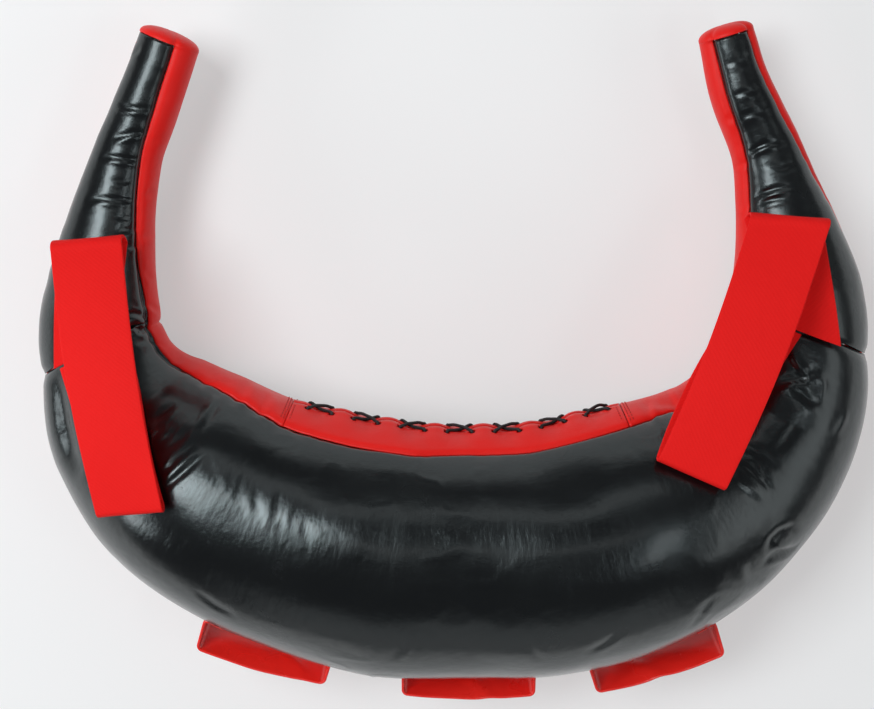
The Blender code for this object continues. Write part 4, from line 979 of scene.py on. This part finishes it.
def make_base_loop(tree, material, word, station, standoff):
    """A doubled tab of coated cloth whose two feet are sewn to the outer strip."""
    turn = read(VALUES, station)[3]
    origin = skin(station, turn, crease=False, loose=0.0)
    along = tangent(station)
    out = outward(station) * math.cos(turn) + UP * math.sin(turn)
    side = np.cross(along, out)
    side = side / np.linalg.norm(side)
    half, corner = LOOP_LENGTH / 2, LOOP_CORNER
    lean = -math.tan(math.radians(LOOP_LEAN_DEGREES))
    seats = [loop_seat(tree, origin, along, out, side, end * half)[0] for end in (-1, 1)]
    grip = standoff + sum(seats) / 2 - LOOP_SEAT_GAP - WEBBING_THICKNESS
    ends = []
    for end in (-1, 1):
        feet = np.linspace(half - LOOP_FOOT, half - 1.5 * corner, 7)
        path = [(end * t, *loop_seat(tree, origin, along, out, side, end * t)) for t in feet]
        base, slope = loop_seat(tree, origin, along, out, side, end * (half - corner))
        path += [(end * (half - corner + corner * math.sin(turn)), base + corner / 2 * (1 - math.cos(turn)), slope)
                 for turn in np.linspace(0.0, math.pi / 2, 7)]
        low, high = path[-1][1], grip - corner
        path += [(end * half, low + (high - low) * k / 5, slope * (1 - k / 5) + lean * k / 5) for k in range(1, 5)]
        path += [(end * (half - corner * (1 - math.cos(turn))), grip - corner * (1 - math.sin(turn)), lean)
                 for turn in np.linspace(0.0, math.pi / 2, 9)]
        ends.append(path)
    inner = [(t, grip, lean) for t in np.linspace(-half + corner, half - corner, 48)[1:-1]]
    width = np.linspace(LOOP_WIDTH / 2, -LOOP_WIDTH / 2, 17)
    rows = []
    for t, h, slope in ends[0] + inner + ends[1][::-1]:
        share = max(0.0, 1 - (t / (half - corner)) ** 2)
        # The grip sags between its folds, waves a little, and its edge that faces up curls out
        sag = -LOOP_SAG * share * (1 - (width / (LOOP_WIDTH / 2)) ** 2) * (1 if h > grip - 0.0005 else 0)
        ripple = LOOP_RIPPLE * math.sin(t * 120 + station * 40) * share
        curl = LOOP_CURL * share * np.clip(-width / (LOOP_WIDTH / 2), 0, 1) ** 2
        fold = LOOP_FOLD * share * bell(t + 0.9 * width + 0.16 * station, 0.007)
        lift = (h + slope * width + sag + ripple + curl - fold)[:, None]
        rows.append(along * t + out * lift + side * width[:, None] + origin)
    webbing("base_loop_" + word + "_tab", "base_loop_" + word, np.array(rows), material, 0.4)


# ---------------------------------------------------------------- filling
def filling(name, low, high, material, node, depth, tips):
    """The stuffed inside, with the form of the skin around it and a rounded cap at both ends."""
    stations = np.linspace(low, high, int((high - low) / FILLING_CELL))
    s, angle = np.meshgrid(stations, SECTION_TURNS, indexing="ij")
    place = s + slant(s, inner_share(s, angle))
    points = skin(place, angle, crease=False)
    middle = centre(s)
    inset = (depth + 0.004 * bell(np.minimum(s - low, high - s), 0.006))[..., None]
    points = middle + (points - middle) * (1 - inset / radius(place)[..., None])
    points[..., 2] = np.maximum(points[..., 2], FILLING_FLOOR)
    wrinkle = 0.0009 * ridged(points, 0.022, 41) + 0.0006 * noise(points, 0.009, 42) - 0.0006
    points = middle + (points - middle) * (1 + (wrinkle / radius(place))[..., None])
    rows, count = s.shape
    verts = [points.reshape(-1, 3)]
    faces = grid_faces(rows, count, ring=True)
    total = rows * count
    for row, tip in ((0, tips[0]), (rows - 1, tips[1])):
        way = 1 if row == 0 else -1
        heart = points[row].mean(axis=0)
        previous = row * count
        for k in range(1, 6):
            turn = math.pi / 2 * k / 6
            verts.append(heart + (points[row] - heart) * math.cos(turn) + tip * math.sin(turn))
            faces += [[previous + c, previous + (c + 1) % count, total + (c + 1) % count, total + c][::way]
                      for c in range(count)]
            previous = total
            total += count
        verts.append((heart + tip)[None, :])
        faces += fan(previous, count, total, way)
        total += 1
    new_piece(name, np.concatenate(verts), faces, material, (node,))


def make_filling(cloth, fibre):
    run_left, run_right = tangent(CROSS_SEAM_LEFT), tangent(CROSS_SEAM_RIGHT)
    back, ahead = -tangent(START), tangent(END)
    filling("liner_bag", CROSS_SEAM_LEFT + FILLING_GAP, CROSS_SEAM_RIGHT - FILLING_GAP, cloth, "sand_liner",
            LINER_DEPTH, (-run_left * 0.003, run_right * 0.003))
    filling("fibre_left", START + HORN_END_GAP, CROSS_SEAM_LEFT - FILLING_GAP, fibre, "horn_stuffing_left",
            FIBRE_DEPTH, (back * 0.006, run_left * 0.003))
    filling("fibre_right", CROSS_SEAM_RIGHT + FILLING_GAP, END - HORN_END_GAP, fibre, "horn_stuffing_right",
            FIBRE_DEPTH, (-run_right * 0.003, ahead * 0.006))


# ---------------------------------------------------------------- stitches
def stitch_row(points, normals, start):
    """Small thread stitches sunk half into the cloth along a line."""
    lengths = run_lengths(points)
    verts, faces = [], []
    at = STITCH_GAP / 2
    turn = np.linspace(0, 2 * math.pi, 7)[:-1][:, None]
    while at + STITCH_LENGTH < lengths[-1]:
        steps = np.linspace(at, at + STITCH_LENGTH, 5)
        for v, lift, reach in zip(steps, STITCH_LIFTS, STITCH_REACHES):
            k = np.interp(v, lengths, range(len(points)))
            i = min(int(k), len(points) - 2)
            u = k - i
            p = points[i] * (1 - u) + points[i + 1] * u
            n = normals[i] * (1 - u) + normals[i + 1] * u
            n = n / np.linalg.norm(n)
            run = points[i + 1] - points[i]
            side = np.cross(run / np.linalg.norm(run), n)
            middle = p + n * (lift * STITCH_SIZE - STITCH_SIZE * 0.42)
            verts.append(middle + (side * np.cos(turn) + n * np.sin(turn)) * (STITCH_SIZE / 2 * reach))
        faces += grid_faces(5, 6, ring=True, start=start)
        faces += [[start + c for c in range(5, -1, -1)], [start + 24 + c for c in range(6)]]
        start += 30
        at += STITCH_LENGTH + STITCH_GAP
    return verts, faces


def make_stitching(thread):
    """Double rows across both ends of the placket and one row beside each end."""
    verts, faces = [], []

    def sew(points, s, angle):
        row = stitch_row(points, base_place(s, angle)[1], 6 * len(verts))
        verts.extend(row[0])
        faces.extend(row[1])

    for toward in (-1, 1):
        for step in (0.0030, 0.0062):
            s = np.full(40, toward * (PLACKET_HALF_LENGTH + step))
            half = float(read(VALUES, s[0])[1]) / 2 - 0.004
            angle = placket_angle(s, np.linspace(-half, half, 40))
            place = s + slant(s, 1.0)
            sew(skin(s, angle, at=place, loose=0.7), place, angle)
        s = np.full(20, toward * (PLACKET_HALF_LENGTH - 0.004))
        half = float(read(VALUES, s[0])[1]) / 2 - 0.006
        for low, high in ((-half, -0.004), (0.004, half)):
            across = np.linspace(low, high, 20)
            sew(placket_skin(s, across, 0.0), s, placket_angle(s, across))
    new_piece("placket_stitching", np.concatenate(verts), faces, thread, ())


# ---------------------------------------------------------------- materials
def link(tree, source, target, into):
    """Links to a socket. The source is a node, for its first output, or a node and an output's name."""
    node, out = source if isinstance(source, tuple) else (source, 0)
    tree.links.new(node.outputs[out], target.inputs[into])


def tune(node, **values):
    """Sets sockets, named with _ for each space, and other settings."""
    for key, value in values.items():
        socket = key.replace("_", " ")
        if socket in node.inputs:
            node.inputs[socket].default_value = value
        else:
            setattr(node, key, value)
    return node


def add(tree, kind, *sources, **values):
    """A new node. Its first inputs take the sources, each a link's source or a number."""
    node = tune(tree.nodes.new("ShaderNode" + kind), **values)
    for k, source in enumerate(sources):
        if isinstance(source, float):
            node.inputs[k].default_value = source
        else:
            link(tree, source, node, k)
    return node


def start_material(name):
    """A material with its shader, and the places in space and on the cloth for its patterns."""
    material = bpy.data.materials.new(name)
    material.use_nodes = True
    tree = material.node_tree
    places = add(tree, "TexCoord")
    return material, tree, tree.nodes["Principled BSDF"], (places, "Object"), (places, "UV")


def ramp(tree, source, first=0.0, last=1.0, low=0.3, high=0.7):
    """Maps a source from low..high to first..last."""
    return add(tree, "MapRange", source, From_Min=low, From_Max=high, To_Min=first, To_Max=last), "Result"


def noise_node(tree, place, scale, detail=4.0, roughness=0.55, distortion=0.0):
    node = add(tree, "TexNoise", place, Scale=scale, Detail=detail, Roughness=roughness, Distortion=distortion)
    return node, "Fac"


def wave_node(tree, place, direction, scale, distortion, detail):
    node = add(tree, "TexWave", place, Scale=scale, Distortion=distortion, Detail=detail)
    node.bands_direction = direction
    return node, "Fac"


def dress(tree, shader, shade, first, last, rough, layers):
    """The colours that shade mixes, the roughness, and bumps in layers of a source and a depth in metres."""
    tint = add(tree, "Mix", shade, data_type="RGBA")
    tune(tint, A=(*first, 1), B=(*last, 1))
    link(tree, (tint, "Result"), shader, "Base Color")
    link(tree, rough, shader, "Roughness")
    before = None
    for source, depth in layers:
        bump = add(tree, "Bump", Strength=1.0, Distance=depth)
        link(tree, source, bump, "Height")
        if before is not None:
            link(tree, before, bump, "Normal")
        before = bump
    link(tree, before, shader, "Normal")


def coated_cloth(name, colour, worn, rough, coat, crinkle, shine, ripple, glint=(1, 1, 1, 1)):
    """Gloss coated cloth: a fine pressed grain, soft crinkles, gathers along the weave and dull scuffs."""
    material, tree, shader, place, flat = start_material(name)
    broad = noise_node(tree, place, 14.0, 3.0)
    crumple = noise_node(tree, place, 70.0, 3.0, 0.5)
    grain = add(tree, "TexVoronoi", place, Scale=1500.0)
    fine = noise_node(tree, place, 420.0, 3.0, 0.6)
    scuff = noise_node(tree, place, 46.0, 8.0, 0.72)
    mask = ramp(tree, scuff, 0.0, 1.0, 0.60, 0.80)
    duller = add(tree, "Math", mask, 0.12, ramp(tree, broad, *rough), operation="MULTIPLY_ADD")
    stretch = add(tree, "Mapping", flat, Scale=(60.0, 210.0, 60.0))
    gathers = noise_node(tree, stretch, 1.0, 2.0, 0.5)
    dress(tree, shader, mask, colour, worn, duller,
          ((gathers, ripple), (crumple, crinkle), (fine, 0.00006), (grain, 0.00005)))
    tune(shader, Coat_Weight=coat, Coat_Roughness=0.14, Specular_IOR_Level=shine, Specular_Tint=glint)
    return material


def woven(name, colour, dark, pitch, depth, rough, shine=0.3):
    """Webbing or cloth: crossing yarns in a fine twill, with small changes of colour from yarn to yarn."""
    material, tree, shader, place, flat = start_material(name)
    scale = add(tree, "Mapping", flat, Scale=(1 / pitch, 1 / pitch, 1 / pitch))
    warp = wave_node(tree, scale, "X", 0.314, 0.6, 1.0)
    weft = wave_node(tree, scale, "DIAGONAL", 0.157, 0.8, 1.0)
    both = add(tree, "Math", warp, weft, operation="MULTIPLY")
    lint = noise_node(tree, place, 900.0, 2.0)
    tone = noise_node(tree, place, 30.0, 5.0, 0.6)
    yarns = add(tree, "Math", both, 0.45, operation="MULTIPLY")
    total = add(tree, "Math", tone, 0.55, yarns, operation="MULTIPLY_ADD")
    dress(tree, shader, ramp(tree, total, 0.0, 1.0, 0.2, 0.8), dark, colour,
          ramp(tree, lint, rough - 0.06, rough + 0.06), ((both, depth), (lint, depth * 0.3)))
    tune(shader, Specular_IOR_Level=shine)
    return material


def cord_material():
    material, tree, shader, place, _ = start_material("black_braid")
    fibre = noise_node(tree, place, 1600.0, 3.0)
    tone = noise_node(tree, place, 220.0)
    dress(tree, shader, ramp(tree, tone), (0.004, 0.004, 0.005), (0.016, 0.016, 0.017),
          ramp(tree, fibre, 0.5, 0.75), ((fibre, 0.00012),))
    return material


def fibre_material():
    material, tree, shader, place, _ = start_material("packed_fibre")
    strand = noise_node(tree, place, 260.0, 7.0, 0.7, 3.0)
    clump = noise_node(tree, place, 60.0)
    dress(tree, shader, ramp(tree, strand), (0.62, 0.60, 0.54), (0.86, 0.85, 0.80),
          ramp(tree, strand, 0.88, 1.0), ((clump, 0.0015), (strand, 0.0006)))
    tune(shader, Sheen_Weight=0.3)
    return material


def liner_material():
    material, tree, shader, place, _ = start_material("liner_canvas")
    warp = wave_node(tree, place, "X", 320.0, 1.2, 2.0)
    weft = wave_node(tree, place, "Y", 320.0, 1.2, 2.0)
    both = add(tree, "Math", warp, weft, operation="ADD")
    tone = noise_node(tree, place, 25.0, 5.0)
    dress(tree, shader, ramp(tree, tone), (0.44, 0.36, 0.25), (0.58, 0.50, 0.37),
          ramp(tree, tone, 0.8, 0.95), ((tone, 0.0008), (both, 0.0002)))
    return material


# ---------------------------------------------------------------- floor and lights
def seen_share(tree, glossy_share=1.0):
    """1 for rays from the camera or through glass, and glossy_share for reflected ones."""
    path = add(tree, "LightPath")
    glossy = add(tree, "Math", (path, "Is Glossy Ray"), glossy_share, operation="MULTIPLY")
    seen = add(tree, "Math", (path, "Is Camera Ray"), (path, "Is Transmission Ray"), operation="ADD")
    return add(tree, "Math", seen, glossy, operation="ADD", use_clamp=True)


def show_mix(tree, share, first, second, output):
    link(tree, add(tree, "MixShader", share, first, second), tree.nodes[output], "Surface")


def make_stage():
    """A pale floor that fades to white with the distance from the bag."""
    mesh = bpy.data.meshes.new("floor")
    corners = [(x * FLOOR_REACH, y * FLOOR_REACH, 0) for x, y in ((-1, -1), (1, -1), (1, 1), (-1, 1))]
    mesh.from_pydata(corners, [], [(0, 1, 2, 3)])
    material, tree, shader, place, _ = start_material("pale_floor")
    tune(shader, Base_Color=(0.90, 0.90, 0.90, 1), Roughness=0.9, Specular_IOR_Level=0.1)
    far = add(tree, "VectorMath", place, operation="LENGTH")
    white = ramp(tree, (far, "Value"), 0.40, 1.0, 0.45, 1.7)
    share = add(tree, "Math", seen_share(tree), white, operation="MULTIPLY")
    show_mix(tree, share, shader, add(tree, "Emission", Strength=1.0), "Material Output")
    mesh.materials.append(material)
    item = put("floor", mesh)
    item.location.z = -FLOOR_DROP


COOL, PLAIN = (0.94, 0.98, 1.0), (1, 1, 1)
# Name, place, target, width, height, watts and colour
SOFTBOXES = (
    ("key", (-0.90, 0.72, 1.75), (-0.10, 0.05, 0.10), 1.10, 0.66, 24.5, COOL),
    ("right_lamp", (0.74, 0.05, 1.38), (-0.10, 0.15, 0.05), 0.50, 0.20, 1.3, COOL),
    ("right_fill", (1.35, 0.10, 0.95), (0.10, 0.15, 0.05), 1.10, 0.50, 2.6, PLAIN),
    ("left_strip", (-1.25, -0.12, 0.60), (0.0, 0.2, 0.05), 0.62, 0.30, 4.0, COOL),
    ("top_fill", (0.0, 1.62, 1.42), (0.0, 0.1, 0.05), 1.9, 0.4, 2.2, PLAIN),
    ("over_camera", (0.0, 0.44, 1.50), (0.0, 0.1, 0.05), 1.2, 0.14, 0.55, PLAIN),
    ("low_fill", (0.1, -1.35, 0.80), (0.0, 0.1, 0.05), 2.0, 0.80, 2.3, PLAIN),
)


def make_lights():
    world = bpy.data.worlds.new("studio")
    bpy.context.scene.world = world
    world.use_nodes = True
    tree = world.node_tree
    shade = tune(tree.nodes["Background"], Color=(0.92, 0.95, 1.0, 1), Strength=0.12)
    white = add(tree, "Background", Color=(1, 1, 1, 1), Strength=1.0)
    split = add(tree, "SeparateXYZ", (add(tree, "TexCoord"), "Generated"))
    low = ramp(tree, (split, "Z"), 1.0, 0.0, 0.04, 0.08)
    show_mix(tree, seen_share(tree, low), shade, white, "World Output")
    for name, place, target, width, height, watts, colour in SOFTBOXES:
        data = bpy.data.lights.new(name, "AREA")
        data.shape = "RECTANGLE"
        data.size, data.size_y = width, height
        data.energy = watts
        data.color = colour
        item = put(name, data)
        item.location = place
        item.rotation_euler = (Vector(target) - Vector(place)).to_track_quat("-Z", "Y").to_euler()


# ---------------------------------------------------------------- the whole part
make_camera()
make_lights()
make_stage()
bag_tree = smooth_tree()
CREASE_LINES = photo_lines(bag_tree)

black_cloth = coated_cloth("gloss_black_cloth", (0.0036, 0.0036, 0.0040), (0.009, 0.009, 0.010), rough=(0.18, 0.29),
                           coat=0.2, crinkle=0.0004, shine=0.53, ripple=0.00020, glint=(0.84, 0.98, 1.0, 1))
red_cloth = coated_cloth("red_coated_cloth", (0.86, 0.014, 0.010), (0.74, 0.013, 0.010), rough=(0.38, 0.52),
                         coat=0.03, crinkle=0.0005, shine=0.22, ripple=0.00022)
# The loop tabs are the same red coated cloth as the strips, but their colours are set brighter as painted light,
# making up for the shade that the bag's body casts on them.
painted_lit_tab_cloth = coated_cloth("red_tab_cloth_painted_lit", (0.95, 0.026, 0.018), (0.88, 0.024, 0.017), rough=(0.20, 0.32),
                         coat=0.3, crinkle=0.0004, shine=0.5, ripple=0.0001)
strap_weave = woven("red_webbing_weave", (0.89, 0.012, 0.010), (0.83, 0.010, 0.009), pitch=0.0008,
                    depth=0.00008, rough=0.74, shine=0.15)
lining = woven("dark_red_lining_cloth", (0.50, 0.030, 0.022), (0.38, 0.020, 0.016), pitch=0.0008,
               depth=0.00008, rough=0.7)
cord = cord_material()
thread = woven("red_thread", (0.70, 0.022, 0.016), (0.52, 0.016, 0.012), pitch=0.0005, depth=0.00005, rough=0.6)

make_panels(black_cloth)
make_gusset("left", red_cloth)
make_gusset("right", red_cloth)
make_outer_strip(red_cloth)
make_placket(red_cloth)
make_tongue(lining)
make_lace(cord)
make_stitching(thread)
for row in STRAPS:
    make_hand_strap(bag_tree, strap_weave, *row)
for row in LOOPS:
    make_base_loop(bag_tree, painted_lit_tab_cloth, *row)
make_filling(liner_material(), fibre_material())
